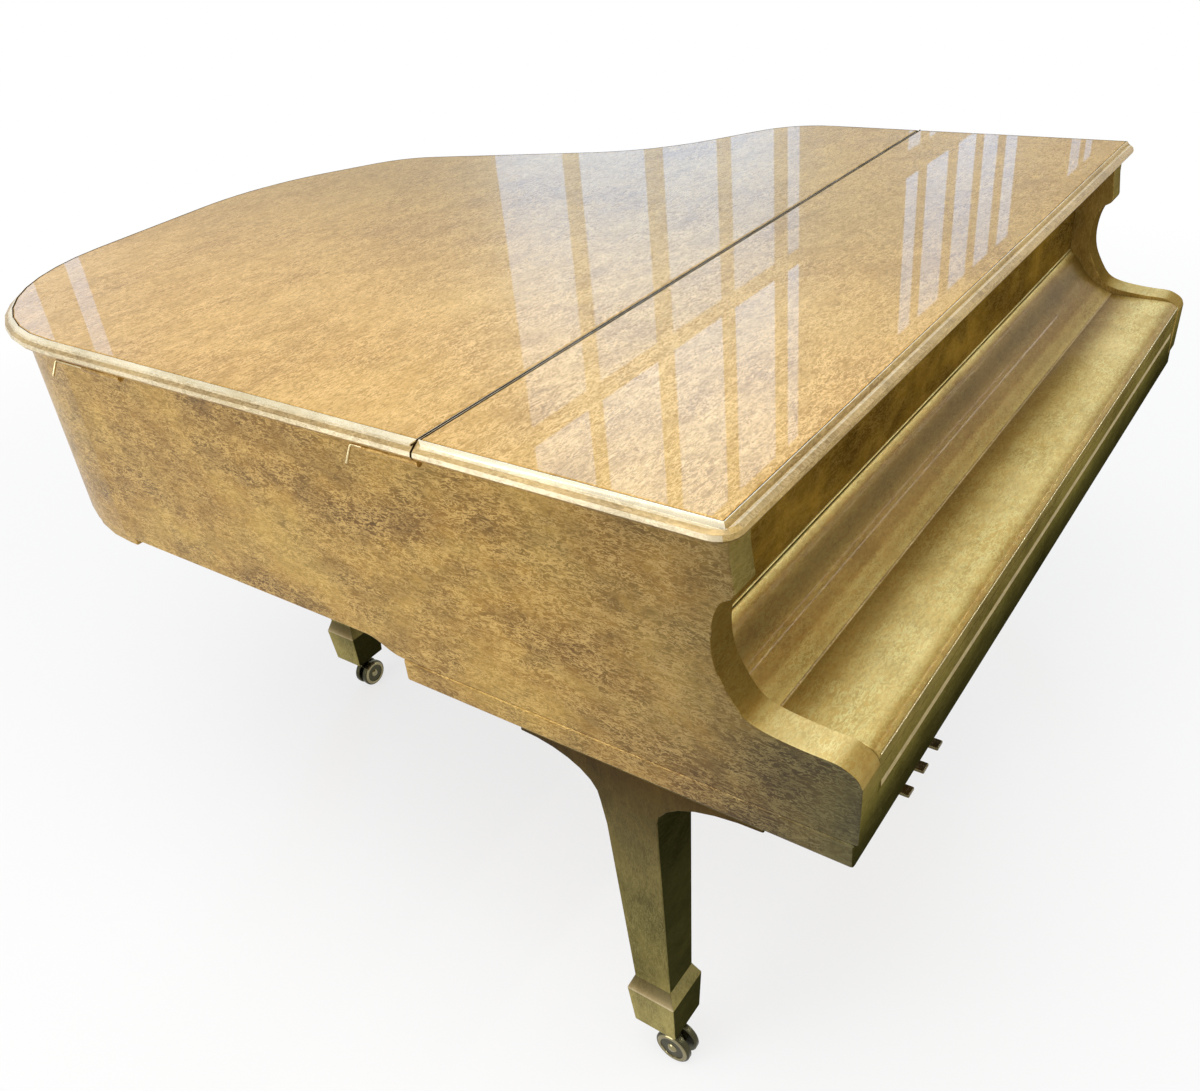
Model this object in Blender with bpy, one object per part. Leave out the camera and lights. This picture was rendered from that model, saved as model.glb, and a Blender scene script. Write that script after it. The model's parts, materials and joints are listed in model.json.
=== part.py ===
"""Grand piano with a closed lid, as an assembly of its separate pieces.

Metres, +Z up. X runs along the keyboard, from the bass side to the treble side, and +Y runs to the tail.
Inside this file Y is measured from the lid's front edge, and one parent empty then moves the whole piano
so that its origin lies on the floor under the middle of its outer box.
"""

import math

import bmesh
import bpy
from mathutils import Matrix, Vector

# Clearances
SEAT = 0.0003            # between two pieces that touch
CAP_GAP = 0.0008         # behind a lever that rocks in front of a flat face

# Width: the keys, the blocks beside them, the arms, and the lid's overhang
WHITE_COUNT = 52
WHITE_PITCH = 0.0236
KEY_HALF = WHITE_COUNT * WHITE_PITCH / 2
CHEEK_WIDTH = 0.0664
RIM_THICK = 0.045
RIM_INSET = 0.025        # outer face inside the lid's edge
HALF_WIDTH = KEY_HALF + CHEEK_WIDTH + RIM_THICK + RIM_INSET
ARM_REACH = 0.130        # the arms stand this far in front of the lid

# Lid
RIM_TOP = 0.9965
LID_BOTTOM = RIM_TOP + 0.0035
LID_THICK = 0.020
LID_TOP = LID_BOTTOM + LID_THICK
LIP_HEIGHT = 0.0045      # height of the outermost lip above the lid's underside
LIP_UNDERCUT = 0.003
MOULD_STEP = 0.0105      # height where the moulding starts to slope in
MOULD_WIDTH = 0.015
SEAM_Y = 0.408           # joint between the front flap and the main lid
SEAM_GAP = 0.0008
FLAP_AXIS_RISE = 0.0005  # flap hinge axis above the lid's top
FLAP_CORNER = 0.012

# Plan of the lid's edge: corner points and the fillet radius at each inner one
SPINE_END = 1.495
TAIL_X = 0.0
TAIL_Y = 1.565
BENT_REAR = (0.38 * HALF_WIDTH, 1.395)
WAIST = (HALF_WIDTH - 0.275, 0.870)
TREBLE_END = 0.685
EDGE_RADII = (0.37, 0.49, 0.21, 0.40, 0.175)

# Rim and case
RIM_BOTTOM = 0.671
ARM_BOTTOM = 0.652
OGEE_RUN = 0.065
BASS_OGEE = 0.535        # where the rim's lower edge starts to step up, bass side
TREBLE_OGEE = 0.475
OGEE_TO_BAND = 0.010
KEYBED_THICK = 0.037
KEYBED_SETBACK = 0.0066  # behind the arm fronts
INNER_RIM_THICK = 0.040
INNER_RIM_BOTTOM = 0.700
INNER_RIM_TOP = 0.815
SOUNDBOARD_THICK = 0.008
BELLY_FRONT = 0.385
BELLY_THICK = 0.025
BRACE_HEIGHT = 0.060
BRACE_WIDTH = 0.060
BRACE_XS = (-HALF_WIDTH / 1.5, -0.28 * HALF_WIDTH / 0.75, HALF_WIDTH / 37.5)
TAIL_BLOCK_START = 1.14
TAIL_BLOCK_END_X = -0.24 * HALF_WIDTH
TAIL_BLOCK_HEIGHT = 0.014

# Arms, seen from the side: the front edge's points from the top down, and the stretch that is one smooth curve
ARM_CURVE = (2, 15)
ARM_FRONT = (
    (0.0165, 0.970), (0.0119, 0.9296), (0.0154, 0.9230), (0.0287, 0.9135), (0.0383, 0.8895),
    (0.0416, 0.8563), (0.0373, 0.8280), (0.0262, 0.8036), (0.0095, 0.7789), (-0.0084, 0.7686),
    (-0.0387, 0.7626), (-0.0736, 0.7597), (-0.1007, 0.7587), (-0.1157, 0.7532), (-0.1259, 0.7454),
    (-0.1300, 0.7358), (-0.1275, ARM_BOTTOM),
)

# Front board above the keys
BOARD_FRONT = 0.0745
BOARD_THICK = 0.0355
BOARD_BOTTOM = 0.8325
BOARD_TOP = LID_BOTTOM - 0.052

# Fallboard, seen from the side, closed
FALL_GAP = 0.0008        # each end, to the arms
FALL_CURVE = (2, 10)
FALL_OUTLINE = (
    (0.0850, 0.7450), (0.0850, 0.8150), (0.0735, 0.8290), (0.0567, 0.8143), (0.0410, 0.7914),
    (0.0174, 0.7717), (-0.0085, 0.7570), (-0.0506, 0.7535), (-0.1044, 0.7531), (-0.1200, 0.7500),
    (-0.1285, 0.7420), (-0.1270, 0.7225), (-0.1150, 0.7225), (-0.1120, 0.7350), (0.0750, 0.7350),
)
FALL_PIVOT = (0.060, 0.762)

# Key slip and keys
SLIP_FRONT = -0.127
SLIP_THICK = 0.020
SLIP_TOP = 0.7215
GROOVE_LOW = 0.689
GROOVE_HIGH = 0.700
GROOVE_DEPTH = 0.002
KEY_SLOT = 0.001
WHITE_FRONT = -0.1045
WHITE_TOP = 0.718
WHITE_THICK = 0.026
HEAD_LENGTH = 0.050      # wide part of a white key, in front of the black ones
BLACK_REAR = 0.045
BLACK_WIDTH = 0.0095
BLACK_SIDE_GAP = 0.001
BLACK_TIP_GAP = 0.0023   # a black key's tip swings forward as it dips
BLACK_RISE = 0.012
BLACK_THICK = 0.0075
BALANCE_Y = 0.120
BALANCE_HALF = 0.003
KEY_TAIL = 0.330
STICK_HALF = KEY_HALF - WHITE_PITCH   # half width of the key sticks behind the keyboard
KEY_SIDE_PLAY = 0.0039   # room for the sideways shift
CHEEK_REAR = 0.020
FRAME_THICK = 0.0217
FRAME_FRONT = -0.090
FRAME_REAR = 0.340
FRAME_HALF = KEY_HALF - 0.0011

# Action
RAIL_FRONT = 0.195
RAIL_REAR = 0.230
RAIL_LOW = 0.745
RAIL_TOP = 0.765
RAIL_POST = 0.017
SHANK_PIVOT = (0.2345, 0.755)
SHANK_HALF = 0.002
STRIKE_Y = 0.345
HEAD_HALF = 0.012
HEAD_RISE = 0.035

# Strings, plate and dampers
PIN_BLOCK_FRONT = 0.135
PIN_BLOCK_REAR = 0.270
PIN_BLOCK_BOTTOM = 0.820
PLATE_BOTTOM = 0.872
PLATE_THICK = 0.012
PLATE_WEB = 0.030        # between two openings
PLATE_OPENINGS = 7
PLATE_FIRST_X = -HALF_WIDTH + 0.140
PLATE_LAST_X = HALF_WIDTH - 0.200
PLATE_OPEN = (PLATE_LAST_X - PLATE_FIRST_X + PLATE_WEB) / PLATE_OPENINGS - PLATE_WEB
PLATE_OPEN_FRONT = 0.300
PLATE_EDGE = 0.065
STRING_Z = 0.853
STRING_THICK = 0.0012
STRING_BAR = 0.018
STRING_END = 0.090       # strings stop this far inside the rim
BREAK_X = -0.3833 * HALF_WIDTH   # between the bass and the treble strings
TREBLE_STRINGS = (20, BREAK_X + 0.0225, HALF_WIDTH - 0.195, 0.003)   # count, first x, last x, width
BASS_STRINGS = (10, 0.170 - HALF_WIDTH, BREAK_X - 0.0225, 0.005)
BRIDGE_WIDTH = 0.030
BRIDGE_SETBACK = 0.070
DAMPER_FRONT = 0.372
DAMPER_REAR = 0.400
DAMPER_SPAN = (-0.8 * HALF_WIDTH, 0.4 * HALF_WIDTH)
DAMPER_HEIGHT = 0.0115

# Music shelf and desk
SHELF_FRONT = 0.080
SHELF_REAR = 0.370
SHELF_BOTTOM = LID_BOTTOM - 0.045
SHELF_THICK = 0.015
SHELF_PLAY = 0.0015
SHELF_RAIL = 0.020
SHELF_RAIL_HEIGHT = 0.025
SHELF_RAIL_Y = (0.120, 0.430)
DESK_LENGTH = 0.240
DESK_HALF = 0.44 * HALF_WIDTH
DESK_THICK = 0.012
DESK_FRONT = 0.084

# Legs, from the keybed or block downwards: height and half width
LEG_X = HALF_WIDTH - 0.070
LEG_FRONT_Y = 0.175
LEG_REAR_XY = (-0.28 * HALF_WIDTH / 0.75, 1.235)
LEG_NECK = 0.545
LEG_SECTIONS = ((0.500, 0.0400), (0.188, 0.0300), (0.164, 0.0395), (0.088, 0.0350))
LEG_HALF_TOP = 0.0435
BRACKET_FRONT = -0.015
BRACKET_REAR = 0.336
BRACKET_EDGE = 0.005
REAR_BRACKET = 0.100
BLOCK_HALF = (0.080, 0.105)
BLOCK_HEIGHT = 0.060

# Casters
WHEEL_RADIUS = 0.029
WHEEL_WIDTH = 0.011
WHEEL_GAP = 0.0105       # between the two wheels' inner faces
AXLE_RADIUS = 0.004
AXLE_PLAY = 0.0003
FORK_THICK = 0.0090
TRAIL = 0.014
FORK_NECK = 0.008
FORK_EYE = 0.011

# Lyre and pedals
LYRE_FRONT = 0.140
LYRE_THICK = 0.030
LYRE_POST_X = (0.055, 0.085)
LYRE_TOP_HALF = 0.150
LYRE_TOP_THICK = 0.030
LYRE_BOX_HALF = 0.130
LYRE_BOX_FRONT = 0.130
LYRE_BOX_REAR = 0.215
LYRE_BOX = (0.045, 0.1047)
PEDAL_PITCH = 0.070
PEDAL_HALF = 0.013
PEDAL_TIP = 0.040
PEDAL_Z = 0.074
PEDAL_THICK = 0.008
PEDAL_PIVOT = 0.006      # in front of the pedal's rear face
ROD_RADIUS = 0.0035
ROD_PITCH = 0.030
ROD_LIFT = 0.006
STAY_WIDTH = 0.012
STAY_FOOT = 0.400

# Lid hinges on the spine
HINGE_X = 0.0135 - HALF_WIDTH
HINGE_Z = LID_BOTTOM - 0.010
HINGES = (("front", 0.410, 0.020), ("rear", 0.985, 0.070))   # place, start, and how far the pin is drawn
KNUCKLE = 0.045
KNUCKLE_RADIUS = 0.005
LEAF_THICK = 0.0012
LEAF_DEPTH = 0.022
PIN_RADIUS = 0.002
PIN_HANDLE = 0.022
PIN_TILT = math.radians(32)   # of the handle, out from straight down

# Lid prop
PROP_BASE = (HALF_WIDTH - 0.170, 0.500, LID_BOTTOM - 0.097)
PROP_SWEEP = math.radians(30)   # of the stowed stick, in plan
PROP_LEAN = math.radians(39)    # of its hinge, out from straight up
PROP_LENGTH = 0.88
PROP_HALF = 0.008
PROP_CHEEK = 0.005       # the bracket's jaws above and below the stick
PROP_JAW = 0.006         # how far they reach past the hinge
PROP_BACK = 0.020        # the bracket's rear face behind the hinge
PROP_BLOCK_DEPTH = 0.025
PROP_BLOCK_SIDE = 0.016

RIM_OUT = RIM_INSET
RIM_IN = RIM_INSET + RIM_THICK
ARM_INNER_X = HALF_WIDTH - RIM_IN
ARM_OUTER_X = HALF_WIDTH - RIM_OUT
BETWEEN_ARMS = ARM_INNER_X - SEAT
KEYBED_TOP = ARM_BOTTOM - SEAT
KEYBED_BOTTOM = KEYBED_TOP - KEYBED_THICK
LID_EDGE = (
    (-HALF_WIDTH, 0.0), (-HALF_WIDTH, SPINE_END), (TAIL_X, TAIL_Y),
    BENT_REAR, WAIST, (HALF_WIDTH, TREBLE_END), (HALF_WIDTH, 0.0),
)


def clear_scene():
    for item in list(bpy.data.objects):
        bpy.data.objects.remove(item, do_unlink=True)


def finish_material(name, colour, roughness, metallic):
    material = bpy.data.materials.new(name + "_finish")
    material.use_nodes = True
    shader = material.node_tree.nodes["Principled BSDF"]
    shader.inputs["Base Color"].default_value = (*colour, 1.0)
    shader.inputs["Roughness"].default_value = roughness
    shader.inputs["Metallic"].default_value = metallic
    return material


GOLD_LEAF = ((0.62, 0.46, 0.22), 0.12, 0.75)
SHADED_LEAF = ((0.36, 0.28, 0.13), 0.18, 0.75)
BRASS = ((0.86, 0.63, 0.26), 0.15, 1.0)
SPRUCE = ((0.72, 0.55, 0.32), 0.45, 0.0)
MAPLE = ((0.60, 0.45, 0.28), 0.5, 0.0)
IVORY = ((0.90, 0.88, 0.82), 0.2, 0.0)
EBONY = ((0.02, 0.02, 0.02), 0.25, 0.0)
IRON = ((0.66, 0.48, 0.20), 0.35, 0.8)
STEEL = ((0.55, 0.55, 0.56), 0.25, 1.0)
FELT = ((0.55, 0.08, 0.07), 0.9, 0.0)


def body(name, mesh, look, parent, smooth=True):
    """One named piece from a bmesh, with its own material, under the piano's empty."""
    bmesh.ops.recalc_face_normals(mesh, faces=mesh.faces)
    data = bpy.data.meshes.new(name)
    mesh.to_mesh(data)
    mesh.free()
    piece = bpy.data.objects.new(name, data)
    bpy.context.scene.collection.objects.link(piece)
    piece.data.materials.append(finish_material(name, *look))
    piece.parent = parent
    if smooth:
        data.shade_smooth()
        data.set_sharp_from_angle(angle=math.radians(35))
    return piece


def set_origin(piece, point):
    """Moves a piece's origin to a point without moving the piece."""
    offset = Vector(point)
    piece.data.transform(Matrix.Translation(-offset))
    piece.location = offset


def extrude_face(mesh, verts, vector):
    face = mesh.faces.new(verts)
    made = bmesh.ops.extrude_face_region(mesh, geom=[face])
    moved = [item for item in made["geom"] if isinstance(item, bmesh.types.BMVert)]
    bmesh.ops.translate(mesh, verts=moved, vec=vector)
    return moved


def plan_prism(outline, low, high):
    """A solid over a flat outline of (x, y) points."""
    mesh = bmesh.new()
    extrude_face(mesh, [mesh.verts.new((x, y, low)) for x, y in outline], (0, 0, high - low))
    return mesh


def side_prism(outline, low_x, high_x):
    """A solid with a side profile of (y, z) points, drawn out along X."""
    mesh = bmesh.new()
    extrude_face(mesh, [mesh.verts.new((low_x, y, z)) for y, z in outline], (high_x - low_x, 0, 0))
    return mesh


def front_prism(outline, low_y, high_y):
    """A solid with a front profile of (x, z) points, drawn out along Y."""
    mesh = bmesh.new()
    extrude_face(mesh, [mesh.verts.new((x, low_y, z)) for x, z in outline], (0, high_y - low_y, 0))
    return mesh


def block(x_span, y_span, z_span):
    corners = [(x_span[0], y_span[0]), (x_span[1], y_span[0]), (x_span[1], y_span[1]), (x_span[0], y_span[1])]
    return plan_prism(corners, *z_span)


def turned(profile, steps=20):
    """A solid of revolution about Z from (radius, z) points whose ends lie on the axis."""
    mesh = bmesh.new()
    verts = [mesh.verts.new((radius, 0, z)) for radius, z in profile]
    edges = [mesh.edges.new(pair) for pair in zip(verts, verts[1:])]
    bmesh.ops.spin(mesh, geom=verts + edges, cent=(0, 0, 0), axis=(0, 0, 1), angle=math.tau,
                   steps=steps, use_merge=True)
    bmesh.ops.remove_doubles(mesh, verts=mesh.verts, dist=1e-6)
    return mesh


def boolean(piece, other_mesh, operation):
    """Joins or cuts a piece with a second solid, and drops the second one."""
    data = bpy.data.meshes.new(piece.name + "_tool")
    bmesh.ops.recalc_face_normals(other_mesh, faces=other_mesh.faces)
    other_mesh.to_mesh(data)
    other_mesh.free()
    tool = bpy.data.objects.new(piece.name + "_tool", data)
    bpy.context.scene.collection.objects.link(tool)
    tool.parent = piece.parent
    change = piece.modifiers.new("change", "BOOLEAN")
    change.operation = operation
    change.object = tool
    bpy.context.view_layer.update()
    shaped = piece.evaluated_get(bpy.context.evaluated_depsgraph_get())
    result = bpy.data.meshes.new_from_object(shaped)
    piece.modifiers.clear()
    piece.data = result
    bpy.data.objects.remove(tool, do_unlink=True)


def edge_path(corners, radii, inset, arc_steps=10):
    """The edge of a plan shape with rounded corners, moved in by inset; its inside is on the right."""
    points = [Vector(corner) for corner in corners]
    heads = [(b - a).normalized() for a, b in zip(points, points[1:])]
    sides = [Vector((head.y, -head.x)) for head in heads]
    path = [points[0] + sides[0] * inset]
    for i in range(1, len(points) - 1):
        before, after = heads[i - 1], heads[i]
        turn = before.x * after.y - before.y * after.x
        gap = (points[i] + sides[i] * inset) - (points[i] + sides[i - 1] * inset)
        along = (gap.x * after.y - gap.y * after.x) / turn
        corner = points[i] + sides[i - 1] * inset + before * along
        radius = radii[i - 1] - inset if turn < 0 else radii[i - 1] + inset
        hand = -1 if turn < 0 else 1
        angle = before.angle(after)
        start = corner - before * (radius * math.tan(angle / 2))
        centre = start + hand * Vector((-before.y, before.x)) * radius
        first = math.atan2(start.y - centre.y, start.x - centre.x)
        for step in range(arc_steps + 1):
            turned_to = first + hand * angle * step / arc_steps
            path.append(centre + radius * Vector((math.cos(turned_to), math.sin(turned_to))))
    path.append(points[-1] + sides[-1] * inset)
    return [(point.x, point.y) for point in path]


def case_path(inset, bass_start=0.0, treble_start=None):
    """The lid's edge moved in, starting and ending at chosen distances from the front."""
    corners = list(LID_EDGE)
    corners[0] = (corners[0][0], bass_start)
    corners[-1] = (corners[-1][0], bass_start if treble_start is None else treble_start)
    return edge_path(corners, EDGE_RADII, inset)


def reach(x, inset):
    """How far back the case reaches at x, inside the given inset."""
    path = case_path(inset)
    best = 0.0
    for (x0, y0), (x1, y1) in zip(path, path[1:]):
        if min(x0, x1) <= x <= max(x0, x1) and abs(x1 - x0) > 1e-9:
            best = max(best, y0 + (y1 - y0) * (x - x0) / (x1 - x0))
    return best


def curved_band(outer, inner, low, high, capped=True):
    """A strip between two paths of equally many points, closed at its ends where it is capped."""
    mesh = bmesh.new()
    rows = [[mesh.verts.new((x, y, z)) for x, y in path] for path in (outer, inner) for z in (low, high)]
    outer_low, outer_high, inner_low, inner_high = rows
    for i in range(len(outer) - 1):
        j = i + 1
        mesh.faces.new((outer_low[i], outer_low[j], outer_high[j], outer_high[i]))
        mesh.faces.new((inner_low[j], inner_low[i], inner_high[i], inner_high[j]))
        mesh.faces.new((outer_high[i], outer_high[j], inner_high[j], inner_high[i]))
        mesh.faces.new((outer_low[j], outer_low[i], inner_low[i], inner_low[j]))
    for i in (0, len(outer) - 1) if capped else ():
        mesh.faces.new((outer_low[i], outer_high[i], inner_high[i], inner_low[i]))
    return mesh


def smoothed(outline, stretch, steps=3):
    """The outline with more points along a stretch of it, on a smooth curve through the given ones."""
    first, last = stretch
    points = [Vector(point) for point in outline]
    curve = []
    for i in range(first, last):
        start, end = points[i], points[i + 1]
        chord = (end - start).length
        leave = (end - points[max(i - 1, first)]).normalized() * chord
        arrive = (points[min(i + 2, last)] - start).normalized() * chord
        for step in range(steps):
            t = step / steps
            curve.append(tuple(start * (2 * t ** 3 - 3 * t ** 2 + 1) + leave * (t ** 3 - 2 * t ** 2 + t)
                               + end * (3 * t ** 2 - 2 * t ** 3) + arrive * (t ** 3 - t ** 2)))
    return [*outline[:first], *curve, *outline[last:]]


def ogee(start):
    """The rim's lower edge where it steps up behind the keybed."""
    steps = 6
    rise = RIM_BOTTOM - ARM_BOTTOM
    return [(start + OGEE_RUN * i / steps, ARM_BOTTOM + rise * (1 - math.cos(math.pi * i / steps)) / 2)
            for i in range(steps + 1)]


def outer_rim(parent):
    """The laminated outer rim and its two arms, as one bent piece."""
    bass_join = BASS_OGEE + OGEE_RUN + OGEE_TO_BAND
    treble_join = TREBLE_OGEE + OGEE_RUN + OGEE_TO_BAND
    outer = case_path(RIM_OUT, bass_join, treble_join)
    inner = case_path(RIM_IN, bass_join, treble_join)
    mesh = curved_band(outer, inner, RIM_BOTTOM, RIM_TOP, capped=False)
    for hand, start, join in ((-1, BASS_OGEE, bass_join), (1, TREBLE_OGEE, treble_join)):
        outline = [(ARM_FRONT[0][0], RIM_TOP), *smoothed(ARM_FRONT, ARM_CURVE), *ogee(start), (join, RIM_BOTTOM),
                   (join, RIM_TOP)]
        near = [mesh.verts.new((hand * ARM_INNER_X, y, z)) for y, z in outline]
        far = [mesh.verts.new((hand * ARM_OUTER_X, y, z)) for y, z in outline]
        mesh.faces.new(near)
        mesh.faces.new(far)
        count = len(outline)
        for i in range(count):
            if i != count - 2:
                mesh.faces.new((near[i], near[(i + 1) % count], far[(i + 1) % count], far[i]))
    bmesh.ops.remove_doubles(mesh, verts=mesh.verts, dist=1e-5)
    return body("outer_rim", mesh, GOLD_LEAF, parent)


def keybed_plan():
    return [(-ARM_OUTER_X, -ARM_REACH + KEYBED_SETBACK), (ARM_OUTER_X, -ARM_REACH + KEYBED_SETBACK),
            (ARM_OUTER_X, TREBLE_OGEE - SEAT), (-ARM_OUTER_X, BASS_OGEE - SEAT)]


def case_pieces(parent):
    outer_rim(parent)
    body("keybed", plan_prism(keybed_plan(), KEYBED_BOTTOM, KEYBED_TOP), SHADED_LEAF, parent, False)
    belly_rear = BELLY_FRONT + BELLY_THICK
    start = belly_rear + SEAT
    inner_rim = curved_band(case_path(RIM_IN + SEAT, start), case_path(RIM_IN + INNER_RIM_THICK, start),
                            INNER_RIM_BOTTOM, INNER_RIM_TOP)
    body("inner_rim", inner_rim, MAPLE, parent)
    body("belly_rail", block((-BETWEEN_ARMS, BETWEEN_ARMS), (BELLY_FRONT, belly_rear),
                             (ARM_BOTTOM, INNER_RIM_TOP)), MAPLE, parent, False)
    board = plan_prism(case_path(RIM_IN + 2 * SEAT, BELLY_FRONT), INNER_RIM_TOP + SEAT,
                       INNER_RIM_TOP + SEAT + SOUNDBOARD_THICK)
    body("soundboard", board, SPRUCE, parent)
    for number, x in enumerate(BRACE_XS, 1):
        inside = RIM_IN + INNER_RIM_THICK + SEAT
        ends = [reach(x + side * BRACE_WIDTH / 2, inside) for side in (-1, 0, 1)]
        brace = block((x - BRACE_WIDTH / 2, x + BRACE_WIDTH / 2), (start, min(ends)),
                      (INNER_RIM_BOTTOM, INNER_RIM_BOTTOM + BRACE_HEIGHT))
        body(f"back_brace_{number}", brace, MAPLE, parent, False)
    x, y = LEG_REAR_XY
    body("rear_leg_block", block((x - BLOCK_HALF[0], x + BLOCK_HALF[0]), (y - BLOCK_HALF[1], y + BLOCK_HALF[1]),
                                 (INNER_RIM_BOTTOM - SEAT - BLOCK_HEIGHT, INNER_RIM_BOTTOM - SEAT)),
         MAPLE, parent, False)
    slope = (TAIL_Y - SPINE_END) / (TAIL_X + HALF_WIDTH)
    corners = [(-HALF_WIDTH, TAIL_BLOCK_START), (-HALF_WIDTH, SPINE_END),
               (TAIL_BLOCK_END_X, SPINE_END + slope * (TAIL_BLOCK_END_X + HALF_WIDTH))]
    inset = RIM_OUT + LIP_UNDERCUT
    tail = curved_band(edge_path(corners, EDGE_RADII[:1], inset), edge_path(corners, EDGE_RADII[:1], RIM_IN),
                       RIM_BOTTOM - SEAT - TAIL_BLOCK_HEIGHT, RIM_BOTTOM - SEAT)
    body("tail_block", tail, GOLD_LEAF, parent)


def front_pieces(parent):
    across = (-BETWEEN_ARMS, BETWEEN_ARMS)
    body("front_board", block(across, (BOARD_FRONT, BOARD_FRONT + BOARD_THICK), (BOARD_BOTTOM, BOARD_TOP)),
         GOLD_LEAF, parent, False)
    rear = SLIP_FRONT + SLIP_THICK
    deep = SLIP_FRONT + GROOVE_DEPTH
    slip = [(SLIP_FRONT, ARM_BOTTOM), (rear, ARM_BOTTOM), (rear, SLIP_TOP), (SLIP_FRONT, SLIP_TOP),
            (SLIP_FRONT, GROOVE_HIGH), (deep, GROOVE_HIGH), (deep, GROOVE_LOW), (SLIP_FRONT, GROOVE_LOW)]
    body("key_slip", side_prism(slip, *across), GOLD_LEAF, parent, False)
    for hand, side in ((-1, "bass"), (1, "treble")):
        span = sorted((hand * (KEY_HALF + KEY_SIDE_PLAY), hand * BETWEEN_ARMS))
        body(f"cheek_block_{side}", block(span, (rear + SEAT, CHEEK_REAR), (ARM_BOTTOM, SLIP_TOP - SEAT)),
             SHADED_LEAF, parent, False)
    half = ARM_INNER_X - FALL_GAP
    fallboard = body("fallboard", side_prism(smoothed(FALL_OUTLINE, FALL_CURVE), -half, half), GOLD_LEAF, parent)
    set_origin(fallboard, (0, *FALL_PIVOT))


def has_black(boundary):
    """Whether a black key stands between white keys boundary-1 and boundary, the first key being an A."""
    return boundary % 7 in (1, 3, 4, 6, 0)


def keyboard(parent):
    bottom = WHITE_TOP - WHITE_THICK
    frame_top = ARM_BOTTOM + FRAME_THICK
    near, far = BALANCE_Y - BALANCE_HALF, BALANCE_Y + BALANCE_HALF
    section = [(FRAME_FRONT, ARM_BOTTOM), (FRAME_REAR, ARM_BOTTOM), (FRAME_REAR, frame_top), (far, frame_top),
               (far, bottom - SEAT), (near, bottom - SEAT), (near, frame_top), (FRAME_FRONT, frame_top)]
    body("key_frame", side_prism(section, -FRAME_HALF, FRAME_HALF), MAPLE, parent, False)
    left = -KEY_HALF
    notch = BLACK_WIDTH / 2 + BLACK_SIDE_GAP
    shoulder = WHITE_FRONT + HEAD_LENGTH
    outline = [(-STICK_HALF, KEY_TAIL), (-STICK_HALF, BLACK_REAR + KEY_SLOT), (left, BLACK_REAR + KEY_SLOT),
               (left, WHITE_FRONT)]
    blacks = []
    for boundary in range(1, WHITE_COUNT):
        x = left + boundary * WHITE_PITCH
        slot = KEY_SLOT / 2
        outline.append((x - slot, WHITE_FRONT))
        if has_black(boundary):
            blacks.append(x)
            outline += [(x - slot, shoulder), (x - notch, shoulder), (x - notch, BLACK_REAR),
                        (x + notch, BLACK_REAR), (x + notch, shoulder), (x + slot, shoulder)]
        else:
            outline += [(x - slot, BLACK_REAR), (x + slot, BLACK_REAR)]
        outline.append((x + slot, WHITE_FRONT))
    outline += [(-left, WHITE_FRONT), (-left, BLACK_REAR + KEY_SLOT), (STICK_HALF, BLACK_REAR + KEY_SLOT),
                (STICK_HALF, KEY_TAIL)]
    whites = body("white_keys", plan_prism(outline, bottom, WHITE_TOP), IVORY, parent, False)
    set_origin(whites, (0, BALANCE_Y, bottom))
    half = BLACK_WIDTH / 2
    tips = shoulder + BLACK_TIP_GAP
    outline = [(-STICK_HALF, far), (-STICK_HALF, BLACK_REAR)]
    for x in blacks:
        outline += [(x - half, BLACK_REAR), (x - half, tips), (x + half, tips), (x + half, BLACK_REAR)]
    outline += [(STICK_HALF, BLACK_REAR), (STICK_HALF, far)]
    top = WHITE_TOP + BLACK_RISE
    ebony = body("black_keys", plan_prism(outline, top - BLACK_THICK, top), EBONY, parent, False)
    rest = block((-STICK_HALF / 2, STICK_HALF / 2), (near, far - KEY_SLOT / 2),
                 (WHITE_TOP + SEAT, top - BLACK_THICK / 2))
    boolean(ebony, rest, "UNION")
    set_origin(ebony, (0, BALANCE_Y, bottom))


def action(parent):
    low = ARM_BOTTOM + FRAME_THICK + SEAT
    half = FRAME_HALF
    post = half - RAIL_POST
    bridge = [(-half, low), (-post, low), (-post, RAIL_LOW), (post, RAIL_LOW), (post, low), (half, low),
              (half, RAIL_TOP), (-half, RAIL_TOP)]
    body("action_rail", front_prism(bridge, RAIL_FRONT, RAIL_REAR), MAPLE, parent, False)
    y, z = SHANK_PIVOT
    front = RAIL_REAR + CAP_GAP
    head_front, head_rear = STRIKE_Y - HEAD_HALF, STRIKE_Y + HEAD_HALF
    shank = [(front, z - SHANK_HALF), (head_rear, z - SHANK_HALF), (head_rear, z + HEAD_RISE),
             (head_front, z + HEAD_RISE), (head_front, z + SHANK_HALF), (front, z + SHANK_HALF)]
    hammers = body("hammers", side_prism(shank, -post, post), FELT, parent, False)
    set_origin(hammers, (0, y, z))
    low = STRING_Z + STRING_THICK + SEAT
    dampers = block(DAMPER_SPAN, (DAMPER_FRONT, DAMPER_REAR), (low, low + DAMPER_HEIGHT))
    body("dampers", dampers, EBONY, parent, False)


def string_comb(name, count, first, last, width, parent):
    """A set of strings held side by side by the bar at their front end."""
    front = PIN_BLOCK_REAR + 2 * SEAT
    bar = front + STRING_BAR
    outline = [(last + width, front), (first - width, front), (first - width, bar)]
    for i in range(count):
        x = first + (last - first) * i / (count - 1)
        rear = reach(x, RIM_IN + STRING_END)
        outline += [(x - width / 2, bar), (x - width / 2, rear), (x + width / 2, rear), (x + width / 2, bar)]
    outline.append((last + width, bar))
    body(name, plan_prism(outline, STRING_Z, STRING_Z + STRING_THICK), STEEL, parent, False)


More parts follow.
